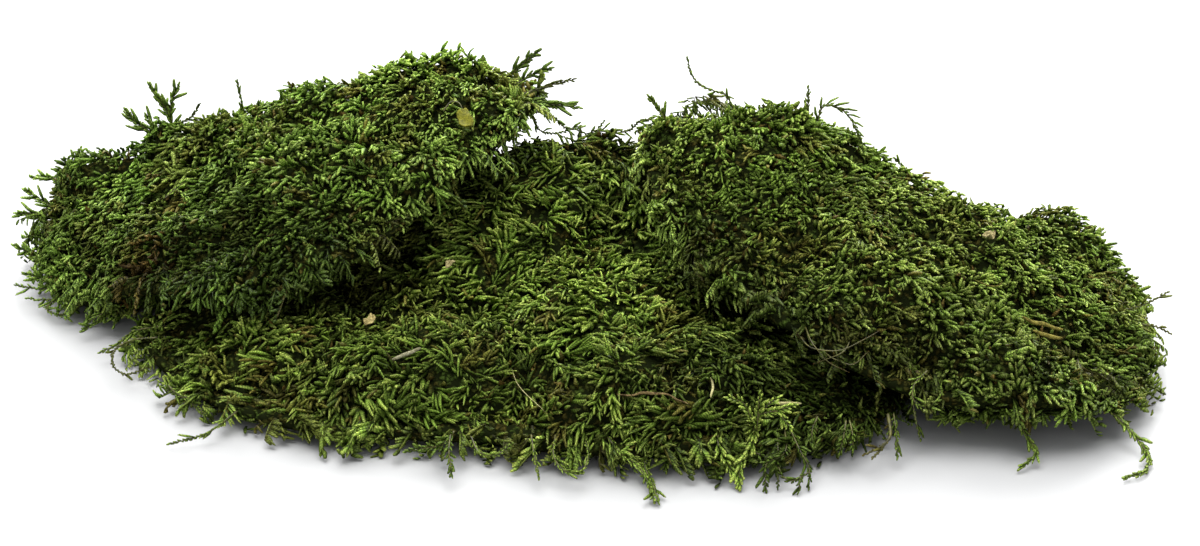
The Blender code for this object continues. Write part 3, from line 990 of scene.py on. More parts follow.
@dataclass
class MossMat:
    """One mat: its dark thatch and the feathery fronds that grow out of it in small tussocks.

    Swell is how far in mm the moss stands out from its form, relief how much that varies, and inset how deep
    the thatch lies. Fringe is how many fronds hang from the edge at most, and again from the foot. Stubs is
    how many inner shoots are strewn, and thin back the share of fronds that the back goes without.
    """

    node: str
    slot: str
    finish: MossFinish
    habit: FrondHabit
    seed: int
    hue: float
    value: float
    swell: float
    relief: float = 3.2
    inset: float = 3.0
    fringe: int = 130
    stubs: int = 4200
    thin_back: float = 0.45
    pieces: int = 2
    patches: tuple[Patch, ...] = ()
    sprigs: tuple[Sprig, ...] = ()
    form: MatSurface = field(init=False)

    def __post_init__(self) -> None:
        """Read the mat's form from the frame."""
        self.form = MatSurface(self.node)

    def soft(self, draw: Draw, width: float, points: Array) -> Array:
        """A soft field over the mat, from about -1 to 1, which changes over about its width in mm."""
        return SoftNoise(width, self.seed + draw).at(points)

    def lumps(self, points: Array) -> Array:
        """Raise the moss in broad tussocks and finer ones, and sink it in patches.

        The height is relief (broad - 0.25 broad squared + 0.6 fine - 0.3), less each patch's sink times how
        far the point is in the patch.

        Args:
            points: positions in mm.

        Returns:
            How much further in mm than the swell the moss stands out at each point.
        """
        broad = self.soft(Draw.TUSSOCKS, 24.0, points)
        fine = self.soft(Draw.LUMPS, 11.0, points)
        height = self.relief * (broad - 0.25 * broad**2 + 0.6 * fine) - 0.3 * self.relief
        for patch in self.patches:
            height = height - patch.sink * patch.near(points)
        return height

    def colours(self, place: Array, rng: np.random.Generator, kin: Array) -> Array:
        """Choose each frond's colour: yellower on the lumps and browner between them, and lighter on the
        lumps and darker between them, as painted light and shade.

        Args:
            place: the fronds' roots in mm.
            rng: the random numbers.
            kin: the number that each frond's tussock shares.

        Returns:
            One row each of a blank, hue, value and age, each from 0 to 1.
        """
        count, dry = len(place), 0.05
        height = self.lumps(place) / self.relief
        hue = self.hue + 0.2 * self.soft(Draw.HUE, 34.0, place) + 0.12 * kin
        hue = hue + 0.27 * rng.normal(size=count) + 0.1 * height
        # Lighter on the lumps and darker between them: painted light and shade.
        value = self.value + 0.07 * self.soft(Draw.VALUE, 18.0, place)
        value = value + 0.19 * rng.normal(size=count) + 0.12 * height
        wilt = self.soft(Draw.WILT, 16.0, place) - 0.5 * height
        age = np.clip(wilt - 0.5, 0, 0.6) * rng.random(count)
        age = np.where(rng.random(count) < dry, rng.uniform(0.3, 0.8, count), age)
        # Some patches add painted light or shade, others the moss's own tone.
        for patch in self.patches:
            near = patch.near(place)
            hue += patch.hue * near
            value += patch.value * near
            age += patch.age * near * rng.random(count)
        return np.column_stack([np.zeros(count), hue, value, age])

    def stems(self, place: Array, normal: Array, lean: Array, reach: Array,
              free: bool) -> tuple[Array, Array]:
        """Lay out the fronds' stems, each from its root along its lean.

        A lying stem follows the mat, with its middle over its place. A free one starts inside the mat, leaves
        it, and droops by the square of the share of its length.

        Args:
            place: the fronds' places in mm.
            normal: the mat's normals there.
            lean: the ways they run.
            reach: their lengths in mm.
            free: whether they hang clear of the mat.

        Returns:
            Where their shoots stand, and the ways up from the mat there, one row for each shoot.
        """
        share = self.habit.shares()
        if not free:
            stem = place[:, None] + lean[:, None] * (reach[:, None] * (share - 0.5))[..., None]
            return self.form.nearest(stem.reshape(-1, 3))
        inside, droop = 2.0, 0.28
        stem = place[:, None] - inside * normal[:, None] + lean[:, None] * (reach[:, None] * share)[..., None]
        stem[..., 2] -= droop * reach[:, None] * share**2
        return stem.reshape(-1, 3), np.repeat(normal, len(share), axis=0)

    def ways(self, forward: Array, up: Array, fans: Array, steep: Array, free: bool,
             rng: np.random.Generator) -> tuple[Array, Array]:
        """Turn the shoots away from their stems, to the left and right by turns, and lift them a little.

        A heading is (forward cos turn + aside sin turn) cos rise + up sin rise, and a bend points forward
        and down. The turn is less in a fan, on a steep side, and towards the frond's tip.

        Args:
            forward: the ways along the stems, one row for each shoot.
            up: the ways up from the mat.
            fans: how much of a fan each shoot's frond is, from 0 to 1.
            steep: how steep the mat is there, from 0 to 1.
            free: whether the fronds hang clear of the mat.
            rng: the random numbers.

        Returns:
            The shoots' headings and bends.
        """
        habit, total = self.habit, len(forward)
        number = total // habit.per_frond
        along, hand = np.tile(habit.shares(), number), np.tile(by_turns(habit.per_frond), number)
        turned, uneven, raised = (30.0, 14, 10) if free else (46.0, 8, habit.rise)
        turn = turned - 20.0 * fans - 10.0 * steep
        spread = np.radians(rng.normal(turn, uneven)) * hand * (1.08 - 0.35 * along)
        rise = np.radians(rng.normal(raised, 15, total))
        standing = np.repeat(rng.random(number) < habit.standing, habit.per_frond)
        rise = np.where(standing, rise + np.radians(24), rise)[:, None]
        aside = np.cross(up, forward)
        level = forward * np.cos(spread)[:, None] + aside * np.sin(spread)[:, None]
        heading = level * np.cos(rise) + up * np.sin(rise)
        bend = forward * rng.uniform(0.0, 0.35, (total, 1)) - up * rng.uniform(0.0, 0.3, (total, 1))
        return heading, bend + 0.1 * rng.normal(size=(total, 3)) - np.array([0, 0, 0.08])

    def sizes(self, place: Array, fans: Array, steep: Array, free: bool,
              rng: np.random.Generator) -> tuple[Array, Array]:
        """Size the shoots: longest before the middle of their stem, and larger where the mat thrives.

        Args:
            place: the fronds' places in mm.
            fans: how much of a fan each shoot's frond is, from 0 to 1.
            steep: how steep the mat is there, from 0 to 1.
            free: whether the fronds hang clear of the mat.
            rng: the random numbers.

        Returns:
            The shoots' lengths and widths in mm.
        """
        habit, number, steps = self.habit, len(place), self.habit.per_frond
        total = number * steps
        envelope = np.interp(np.tile(habit.shares(), number), [0, 0.3, 0.65, 1.0], [0.75, 1.0, 0.85, 0.62])
        vigour = np.repeat(1 + 0.15 * self.soft(Draw.VIGOUR, 26.0, place), steps)
        length = np.repeat(rng.uniform(*habit.shoot, number), steps) * envelope
        length = length * rng.uniform(0.75, 1.2, total) * vigour
        length = length * (1 + 0.25 * fans) * (0.8 if free else 1 + 0.3 * steep)
        width = np.repeat(rng.uniform(*habit.width, number), steps) * rng.uniform(0.85, 1.12, total) * vigour
        return length, width

    def sunken(self, ground: Array, up: Array, forward: Array, rng: np.random.Generator) -> Array:
        """Root the shoots of lying fronds under the moss's surface, less so towards the fronds' tips.

        So each frond covers the next one's root, as shingles do. A root is ground + up (lift - depth), and
        strays a little forward and aside.

        Args:
            ground: where the shoots' stems run on the mat's form, in mm.
            up: the ways up from the mat there.
            forward: the ways along the stems.
            rng: the random numbers.

        Returns:
            The shoots' roots in mm.
        """
        total, stray = len(ground), self.habit.stray
        deepest, rising, uneven, least, pressed = 3.6, 2.4, 0.45, 0.4, 0.5
        along = np.tile(self.habit.shares(), total // self.habit.per_frond)
        depth = np.clip(deepest - rising * along + uneven * rng.normal(size=total), least, None)
        lift = self.swell + self.lumps(ground) - pressed * pressed_by_litter(ground)
        root, aside = ground + up * (lift - depth)[:, None], np.cross(up, forward)
        return root + stray * (forward * rng.normal(size=(total, 1)) + aside * rng.normal(size=(total, 1)))

    def lay_midribs(self, shoots: Shoots) -> None:
        """Make each frond's first shoot its midrib, a parabola through its second, middle and last roots.

        With those at the start, the middle and the end, and the span from the first to the last of them, the
        heading is (4 middle - 3 start - end) / span, and the bend (2 start + 2 end - 4 middle) / span.

        Args:
            shoots: the fronds' shoots, which are changed.
        """
        first = np.arange(0, len(shoots), self.habit.per_frond)
        second, half, last = first + 1, first + self.habit.per_frond // 2, first + self.habit.per_frond - 1
        start, middle, end = shoots.root[second], shoots.root[half], shoots.root[last]
        span = np.linalg.norm(end - start, axis=1, keepdims=True)
        shoots.root[first] = start
        shoots.length[first] = span[:, 0]
        shoots.width[first] *= 0.7
        shoots.heading[first] = (4 * middle - 3 * start - end) / span
        shoots.bend[first] = (2 * start + 2 * end - 4 * middle) / span

    def grow(self, place: Array, normal: Array, lean: Array, size: Array, growth: Array, free: bool,
             rng: np.random.Generator) -> Shoots:
        """Grow feathery fronds, each a midrib with a row of side shoots and one at its tip.

        Some lying fronds are fans, with a shorter stem and longer shoots that are turned less, and so are
        those on the mat's steep sides, which hang in narrow plaits.

        Args:
            place: the fronds' places in mm.
            normal: the mat's normals there.
            lean: the ways they run.
            size: their lengths in mm.
            growth: their colours.
            free: whether they hang clear of the mat.
            rng: the random numbers.

        Returns:
            The shoots of all the fronds.
        """
        steps, number, dry = self.habit.per_frond, len(place), 0.02
        total = number * steps
        fan = np.zeros(number) if free else rng.random(number) ** 1.5
        ground, up = self.stems(place, normal, lean, size * (1 - 0.45 * fan), free)
        forward = unit(level_with(np.repeat(lean, steps, axis=0), up))
        fans = np.repeat(fan, steps)
        steep = np.repeat(smoothstep(0.75, 0.2, np.abs(normal[:, 2])), steps)
        heading, bend = self.ways(forward, up, fans, steep, free, rng)
        length, width = self.sizes(place, fans, steep, free, rng)
        root = ground if free else self.sunken(ground, up, forward, rng)
        growth = np.repeat(growth, steps, axis=0)
        growth = growth + np.array([0, 0.11, 0.11, 0]) * rng.normal(size=(total, 1))
        growth[:, 3] = np.where(rng.random(total) < dry, 0.7, growth[:, 3])
        flat = unit(up + 0.3 * rng.normal(size=(total, 3)))
        shoots = Shoots(root, heading, bend, flat, length, width, np.clip(growth, 0, 1))
        self.lay_midribs(shoots)
        return shoots

    def lying(self, trees: list[BVHTree]) -> Shoots:
        """Cover the mat with fronds that run outward from their tussock, downhill and along the comb.

        Args:
            trees: the solids of the other mats.

        Returns:
            The shoots. They stand a little further apart on the slopes that face the back.
        """
        rng = np.random.default_rng(self.seed)
        habit = self.habit
        centres, _ = self.form.spread(habit.tussock, rng)
        place, normal = self.form.spread(habit.spacing, rng)
        underside = (normal[:, 2] < -0.55) & (place[:, 2] < 4)
        kept = ~underside & (rng.random(len(place)) > self.thin_back * smoothstep(0.4, 0.7, normal[:, 1]))
        place, normal = place[kept], normal[kept]
        seen = open_to_air(place, normal, trees) & self.form.thick_under(place, normal)
        place, normal = place[seen], normal[seen]
        number = len(place)
        tussock = np.linalg.norm(place[:, None] - centres[None], axis=2).argmin(axis=1)
        away = level_with(place - centres[tussock], normal)
        ratio = np.clip(np.linalg.norm(away, axis=1) / (0.75 * habit.tussock), 0, 1)[:, None]
        down = np.array([0, 0, -1.0]) + normal * normal[:, 2:3]
        lean = unit(away) * ratio * 0.9 + down * habit.downhill + np.array(habit.comb)
        lean = lean + 0.7 * SoftNoise(28.0, self.seed + Draw.LEAN).vectors(place)
        lean = unit(level_with(lean + 0.6 * rng.normal(size=(number, 3)), normal))
        growth = self.colours(place, rng, rng.normal(size=len(centres))[tussock])
        return self.grow(place, normal, lean, rng.uniform(*habit.frond, number), growth, False, rng)

    def filling(self, trees: list[BVHTree]) -> Shoots:
        """Strew short stubs over the thatch, which stand for the shoots deep between the fronds, dimmed as
        painted shade.

        Args:
            trees: the solids of the other mats.

        Returns:
            The stubs. Each starts on the thatch and leans any way from the mat's normal.
        """
        rng = np.random.default_rng(self.seed + Draw.FILLING)
        dim, dry = 0.36, 0.3
        place, normal = self.form.scatter(self.stubs, rng)
        seen = open_to_air(place, normal, trees) & (normal[:, 2] > 0.0) & self.form.thick_under(place, normal)
        place, normal = place[seen], normal[seen]
        number = len(place)
        heading = unit(normal * rng.uniform(0.15, 0.9, (number, 1)) + 0.6 * rng.normal(size=(number, 3)))
        depth = self.inset - 0.2 - self.lumps(place)
        hue = self.hue + 0.25 * rng.normal(size=number)
        # The stubs are dimmed: painted shade deep between the fronds.
        value = dim + 0.14 * rng.normal(size=number)
        age = np.where(rng.random(number) < dry, rng.uniform(0.3, 1.0, number), 0.0)
        growth = np.clip(np.column_stack([np.zeros(number), hue, value, age]), 0, 1)
        bend = 0.2 * rng.normal(size=(number, 3))
        flat = unit(normal + 0.4 * rng.normal(size=(number, 3)))
        length = rng.uniform(2.2, 4.0, number)
        width = rng.uniform(1.3, 2.1, number)
        return Shoots(place - normal * depth[:, None], heading, bend, flat, length, width, growth)

    def hanging(self, trees: list[BVHTree]) -> Shoots:
        """Let longer fronds stand out and droop from the mat's edge, and others from its foot near the table.

        Args:
            trees: the solids of the other mats.

        Returns:
            The shoots. There are fewer of them at the back.
        """
        rng = np.random.default_rng(self.seed + Draw.EDGE)
        most, apart, edge_from, foot_to, back = self.fringe, 3.0, 3.0, 8.0, 0.3
        place, normal = self.form.spread(apart, rng)
        facing = (normal[:, 1] < 0.3) | (rng.random(len(place)) < back)
        edge = (np.abs(normal[:, 2]) < 0.35) & (place[:, 2] > edge_from) & facing
        foot = (normal[:, 2] > -0.93) & (normal[:, 2] <= -0.35) & (place[:, 2] < foot_to)
        chosen = np.concatenate([np.flatnonzero(edge)[:2 * most], np.flatnonzero(foot)[:3 * most]])
        place, normal, low = place[chosen], normal[chosen], foot[chosen]
        clear = place + low[:, None] * normal * np.array([2.0, 2.0, 0.0])
        seen = open_to_air(clear, normal, trees) & self.form.thick_under(place, normal)
        kept = np.concatenate([np.flatnonzero(seen & ~low)[:most], np.flatnonzero(seen & low)[:most]])
        place, normal = place[kept], normal[kept]
        number = len(place)
        out = normal * np.array([1.0, 1.0, 0.3])
        lean = out * rng.uniform(0.5, 1.0, (number, 1)) + 0.45 * rng.normal(size=(number, 3))
        lean = unit(lean + np.array([0, 0, -0.3]) + 0.5 * np.array(self.habit.comb))
        growth = self.colours(place, rng, np.zeros(number)) + np.array([0, 0.1, 0.03, 0])
        return self.grow(place, normal, lean, rng.uniform(4.5, 9.5, number), growth, True, rng)

    def core(self) -> None:
        """Make the thatch: the mat's form moved in along its normals, flat where it lies on the table.

        The top moves in by the inset less the lumps, but by no more than half of the mat's thickness there,
        and the underside hardly moves, so that thin stretches don't turn inside out. The piece stands for
        the solid.
        """
        form, least, under, table_to = self.form, 0.5, 0.8, 0.6
        over = smoothstep(-0.4, 0.2, form.normals[:, 2])
        depth = np.minimum(self.inset - self.lumps(form.points), 0.5 * form.thickness())
        points = form.points - form.normals * (over * np.maximum(depth, least) + (1 - over) * under)[:, None]
        on_table = form.points[:, 2] < table_to
        points[:, 2] = np.where(on_table, 0.0, np.maximum(points[:, 2], 0.0))
        move_points(form.mesh, points)
        finish = ThatchFinish("dead_moss_stems")
        piece = add_piece(self.node + "_thatch", form.mesh, finish.material())
        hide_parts(self.node)

    def build(self, trees: list[BVHTree]) -> None:
        """Make the mat's thatch, its fronds, in pieces that each stay small enough, and its sprigs.

        Args:
            trees: the solids of the other mats.
        """
        shoots = self.lying(trees).above_table()
        material = self.finish.material()
        shape = ShootShape(self.habit.rings)
        share = np.arange(len(shoots)) // self.habit.per_frond % self.pieces
        for number in range(self.pieces):
            name = f"{self.node}_fronds_{number + 1}"
            add_shoots(name, shoots.part(share == number), shape, material)
        edge = self.hanging(trees).above_table()
        add_shoots(self.node + "_edge_fronds", edge, ShootShape(), material)
        inner = self.filling(trees).above_table()
        add_shoots(self.node + "_inner_shoots", inner, ShootShape(rings=2, last=0.5), material)
        leaves = Shoots.joined([sprig.leaves(number) for number, sprig in enumerate(self.sprigs)])
        add_shoots(self.node + "_sprig_leaves", leaves, ShootShape(), material)
        points, quads = joined_surfaces([sprig.stem() for sprig in self.sprigs])
        mesh = mesh_from_arrays(self.node + "_stems", points, quads, np.empty((0, 3), int))
        add_piece(self.node + "_stems", mesh, StemFinish("dry_moss_stem").material())
        self.core()


@dataclass(frozen=True)
class LitterFinish:
    """Dead plant matter, bleached and dull: wood, straw or leaf, with streaks and spots.

    Streaks and spots lie that many to the mm, and relief is how far in mm they seem to stand out.
    """

    name: str
    dark: str
    light: str
    streaks: float = 0.9
    spots: float = 3.2
    relief: float = 0.3
    roughness: float = 0.8
    specular: float = 0.05

    def material(self) -> bpy.types.Material:
        """Streaks about 1 mm wide over spots about 0.3 mm wide.

        Returns:
            The material.
        """
        material, tree, surface = start_material(self.name, self.roughness, self.specular)
        place = add_node(tree, "TexCoord").outputs["Object"]
        wide = {"Vector": place, "Scale": self.streaks / MM, "Detail": 4.0}
        fine = {"Vector": place, "Scale": self.spots / MM, "Detail": 2.0}
        streaks = add_node(tree, "TexNoise", wide).outputs["Fac"]
        spots = add_node(tree, "TexNoise", fine).outputs["Fac"]
        mixed = add_node(tree, "Math", {0: streaks, 1: spots}, operation="MULTIPLY").outputs[0]
        colour = add_node(tree, "ValToRGB", {0: mixed}, [(0.14, self.dark), (0.34, self.light)]).outputs[0]
        bump = {"Strength": 0.8, "Distance": self.relief * MM, "Height": mixed}
        tree.links.new(colour, surface.inputs["Base Color"])
        tree.links.new(add_node(tree, "Bump", bump).outputs[0], surface.inputs["Normal"])
        return material


@dataclass(frozen=True)
class LitterBit:
    """A dry bit caught on the moss, a rounder and more crumpled form of its solid.

    Crumple is how far in mm its surface is pushed about, grain the size of its crumples, and thin how far
    its faces are moved in.
    """

    node: str
    slot: str
    finish: LitterFinish
    crumple: float
    grain: float
    thin: float = 0.0

    def build(self) -> None:
        """Weld and round a copy of the solid, move its faces in and crumple it, to stand for the solid."""
        fine = modified(welded(self.node), self.node + "_welded", "SUBSURF", levels=1, render_levels=1)
        points = read_rows(fine, "co") / MM - self.thin * read_rows(fine, "normal")
        move_points(fine, points + self.crumple * SoftNoise(self.grain, Draw.LITTER).vectors(points))
        piece = add_piece(self.node + "_dressed", fine, self.finish.material())
        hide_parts(self.node)


@dataclass(frozen=True)
class AreaLight:
    """A round area light that faces the heap: its place and width in metres, and its power in watts."""

    name: str
    place: tuple[float, float, float]
    width: float
    power: float

    def build(self) -> None:
        """Put it into the scene, turned to the middle of the heap."""
        data = bpy.data.lights.new(self.name, "AREA")
        data.shape = "DISK"
        data.size = self.width
        data.energy = self.power
        lamp = add_object(self.name, data)
        lamp.location = self.place
        heap = Vector((0, 0, 0.03))
        lamp.rotation_euler = (heap - Vector(self.place)).to_track_quat("-Z", "Y").to_euler()


@dataclass(frozen=True)
class Studio:
    """A pale table in soft daylight from behind, and a camera that looks a little down on it.

    Elevation is the camera's, in degrees. Distance, aim height, lens and film are in mm, and half table in
    metres.
    """

    elevation: float = 22.0
    distance: float = 700.0
    aim_height: float = 30.0
    lens: float = 80.0
    film: float = 36.0
    half_table: float = 4.0
    table_colour: str = "a7a7a7"
    sky_colour: str = "f3f6fa"
    sky_strength: float = 0.56
    lights: tuple[AreaLight, ...] = (
        AreaLight("window", (0.2, 1.7, 1.0), 1.8, 74.0),
        AreaLight("overhead", (-0.15, 0.1, 1.6), 2.0, 57.0),
        AreaLight("front_fill", (0.3, -1.9, 0.7), 2.4, 15.0),
    )

    def table(self) -> None:
        """A wide white table top."""
        half = self.half_table
        mesh = bpy.data.meshes.new("table_top")
        corners = [(-half, -half, 0), (half, -half, 0), (half, half, 0), (-half, half, 0)]
        mesh.from_pydata(corners, [], [(0, 1, 2, 3)])
        material, _, surface = start_material("white_table", roughness=0.6)
        surface.inputs["Base Color"].default_value = srgb(self.table_colour)
        mesh.materials.append(material)
        add_object("table_top", mesh)

    def sky(self) -> None:
        """An even, slightly blue sky."""
        world = bpy.data.worlds.new("sky")
        world.use_nodes = True
        background = world.node_tree.nodes["Background"]
        background.inputs[0].default_value = srgb(self.sky_colour)
        background.inputs[1].default_value = self.sky_strength
        bpy.context.scene.world = world

    def camera(self) -> None:
        """A camera in front of the heap, aimed at its middle from the elevation."""
        data = bpy.data.cameras.new("camera")
        data.lens = self.lens
        data.sensor_width = self.film
        camera = add_object("camera", data)
        angle = math.radians(self.elevation)
        target = Vector(PLAN_MIDDLE + np.array([0, 0, self.aim_height])) * MM
        camera.location = target + Vector((0, -math.cos(angle), math.sin(angle))) * self.distance * MM
        camera.rotation_euler = (math.radians(90 - self.elevation), 0, 0)
        bpy.context.scene.camera = camera

    def build(self) -> None:
        """Set the table, the lights, the sky and the camera, with plain colours."""
        bpy.context.scene.view_settings.view_transform = "Standard"
        self.table()
        for light in self.lights:
            light.build()
        self.sky()
        self.camera()


# All the litter is dull and bleached: grey wood, pale straw, brown bark, golden stalks, and leaves that are
# withered, browner or still yellowing. The last of them is smoother, as a leaf is that has just fallen.
GREY_TWIG = LitterFinish("weathered_twig", "545138", "99957a")
STRAW = LitterFinish("dry_grass_straw", "7f7a4a", "b9b283")
BARK = LitterFinish("brown_bark_fibre", "35291a", "7c6a45")
STALK = LitterFinish("golden_dry_stalk", "403a17", "8d8440")
LEAF = LitterFinish("withered_leaf", "4f4529", "a0925f")
BROWN_LEAF = LitterFinish("brown_withered_leaf", "5c5236", "aa9f70")
YELLOW_LEAF = LitterFinish("yellowing_leaf", "42430e", "727020", streaks=0.7, roughness=0.6)

LITTER = (
    LitterBit("pale_stick", "grey_wood", GREY_TWIG, 0.12, 2.5),
    LitterBit("blond_needle", "straw_stem", STRAW, 0.05, 4.0, thin=0.13),
    LitterBit("brown_stem", "brown_bark", BARK, 0.35, 2.5, thin=0.25),
    LitterBit("pale_stem", "straw_stem", STRAW, 0.15, 2.5),
    LitterBit("dry_stalk_1", "golden_stalk", STALK, 0.3, 3.0, thin=0.25),
    LitterBit("dry_stalk_2", "golden_stalk", STALK, 0.3, 3.0, thin=0.25),
    LitterBit("curled_stalk", "golden_stalk", STALK, 0.15, 2.5, thin=0.2),
    LitterBit("straw", "straw_stem", STRAW, 0.1, 3.0),
    LitterBit("leaf_scrap", "dry_leaf", LEAF, 0.6, 2.2),
    LitterBit("star_scrap", "dry_leaf", BROWN_LEAF, 0.5, 1.8),
    LitterBit("pale_scrap", "dry_leaf", BROWN_LEAF, 0.5, 1.8),
    LitterBit("yellow_leaf", "dry_leaf", YELLOW_LEAF, 0.5, 2.6),
)

# Ways of growing that several sprigs share: with broad leaves, large and bright, brown and bare as a root, or
# bushy, and brightly so at the heap's left end.
BROAD = dict(leaf=1.8, spacing=0.55, width=0.75, turn=38.0)
LARGE = dict(leaf=2.8, spacing=0.7, width=1.1, turn=34.0, hue=0.95)
ROOT = dict(leaf=0.5, spacing=0.6, width=0.4, bare=0.75, radius=0.2, every=40, age=1.0, value=0.3)
BUSHY = dict(leaf=2.1, spacing=0.5, width=0.85, turn=30.0, branch=4.4, every=5, hue=0.55)
BRIGHT = dict(BUSHY, value=0.65)

BASE_SPRIGS = (
    Sprig(((-118, 6, 9), (-125, 4, 9), (-129, -3, 8), (-128, -7, 6), (-125, -9, 5), (-119, -7, 6)),
          value=0.2, leaf=0.9, branch=2.0, age=0.4),
    Sprig(((-117, 14, 9), (-126, 12, 8), (-131, 9, 5), (-134, 8, 4)), value=0.35),
    Sprig(((-98, -24, 5), (-108, -23, 5), (-113, -20, 6)), value=0.4),
    Sprig(((-112, -20, 7), (-110, -22, 6), (-106, -24, 4), (-101, -30, 3)), value=0.45),
    Sprig(((-92, -34, 6), (-100, -42, 3), (-108, -44, 1.5)), value=0.35, leaf=1.1),
    Sprig(((-32, -53, 8), (-29, -59, 6), (-26, -60, 6), (-22, -56, 7)), value=0.5),
    Sprig(((-36, -50, 8), (-39, -56, 7), (-43, -60, 8), (-47, -61, 7.6)), value=0.3, hue=0.1, **BROAD),
    Sprig(((-37, -52, 8), (-37, -60, 7), (-36, -66, 4)), value=0.3, hue=0.15, **BROAD),
    Sprig(((-17, -54, 9), (-16, -61, 6), (-15, -66, 3.5)), hue=0.6),
    Sprig(((-11, -54, 9), (-11, -62, 6), (-8, -66, 4.6), (-5, -66, 4.5), (-3, -62, 6), (-4, -54, 9)),
          hue=0.6, value=0.55),
    Sprig(((1, -53, 9), (5, -60, 6.8), (10, -65, 4.6), (12, -70, 2.6), (13, -75, 1.3)),
          hue=0.5, leaf=1.7, width=0.8),
    Sprig(((12, -52, 6), (11, -62, 4), (13, -69, 2.2), (14, -75, 1.2)), hue=0.5),
    Sprig(((30, -50, 10), (29, -57, 8), (32, -64, 4)), value=0.62, **LARGE),
    Sprig(((38, -50, 12), (37, -60, 9), (34, -64, 5), (34, -67, 2)), value=0.66, **LARGE),
    Sprig(((38, -50, 9), (38.5, -57, 12), (38.6, -58, 16), (38.8, -58, 21)), hue=0.9, value=0.6, **BROAD),
    Sprig(((38, -52, 11), (37, -57, 15), (34.7, -57, 19), (31.7, -58, 20.5)), hue=0.9, value=0.6, **BROAD),
    Sprig(((37, -52, 12), (40, -59, 17), (44, -60, 18.6), (47, -60, 19.5)), hue=1.0, value=0.8, **BROAD),
    Sprig(((41, -59, 17), (43, -60, 18), (44.5, -61, 16.6), (46, -62, 14.7)), hue=1.0, value=0.8, **BROAD),
    Sprig(((39.5, -58, 17), (40.8, -60, 19.7), (42.5, -60, 21)), hue=1.0, value=0.7, **BROAD),
    Sprig(((46, -46, 8), (44, -62, 6.7), (40.5, -65, 6.3), (40.3, -68, 1.3)),
          value=0.15, hue=0.1, leaf=2.0, width=0.8, turn=38.0),
    Sprig(((44, -50, 9), (43.5, -62, 5.8), (43.2, -68, 1.2)), value=0.15, hue=0.1, leaf=0.9),
    Sprig(((47, -50, 9), (49, -60, 7.3), (51, -64, 4.4), (50.7, -67, 1.5)),
          value=0.2, hue=0.1, leaf=1.8, turn=34.0),
    Sprig(((51, -65, 4), (48.8, -66, 3.1), (46.3, -67, 2.6), (44.2, -66, 3.6), (43.6, -64, 5.1)),
          value=0.2, hue=0.1),
    Sprig(((48.9, -65, 3.6), (48.6, -67, 2.6), (48.3, -69, 1.3)), value=0.2, hue=0.15, leaf=1.8),
    Sprig(((36, -58, 7), (41, -62, 6.6), (44, -62, 6.3)), value=0.15, hue=0.1),
    Sprig(((61, -50, 11), (60, -55, 8.7), (59, -58, 6.4)), value=0.2, hue=0.1, **BROAD),
    Sprig(((61.8, -50, 11), (62.3, -55, 8.7), (62.2, -57, 6.9)), value=0.2, hue=0.1, **BROAD),
    Sprig(((54, -50, 12), (52, -57, 10.7), (52, -58.5, 9)), value=0.25, hue=0.1, **BROAD),
    Sprig(((72, -44, 10), (71.6, -52, 6.7), (68.6, -56, 6.2), (65.1, -58, 5.3)),
          value=0.3, age=0.8, leaf=0.9, radius=0.5),
    Sprig(((71, -53, 6.6), (69.6, -55.5, 6), (67, -60, 5.4)), value=0.3, age=0.7, leaf=0.9, radius=0.4),
    Sprig(((73.4, -44, 10), (73.6, -50, 7), (73.4, -55, 3.6)), value=0.35, hue=0.3),
    Sprig(((78, -40, 14), (78.8, -46, 9), (79.8, -48, 5)), value=0.15, leaf=0.8),
)
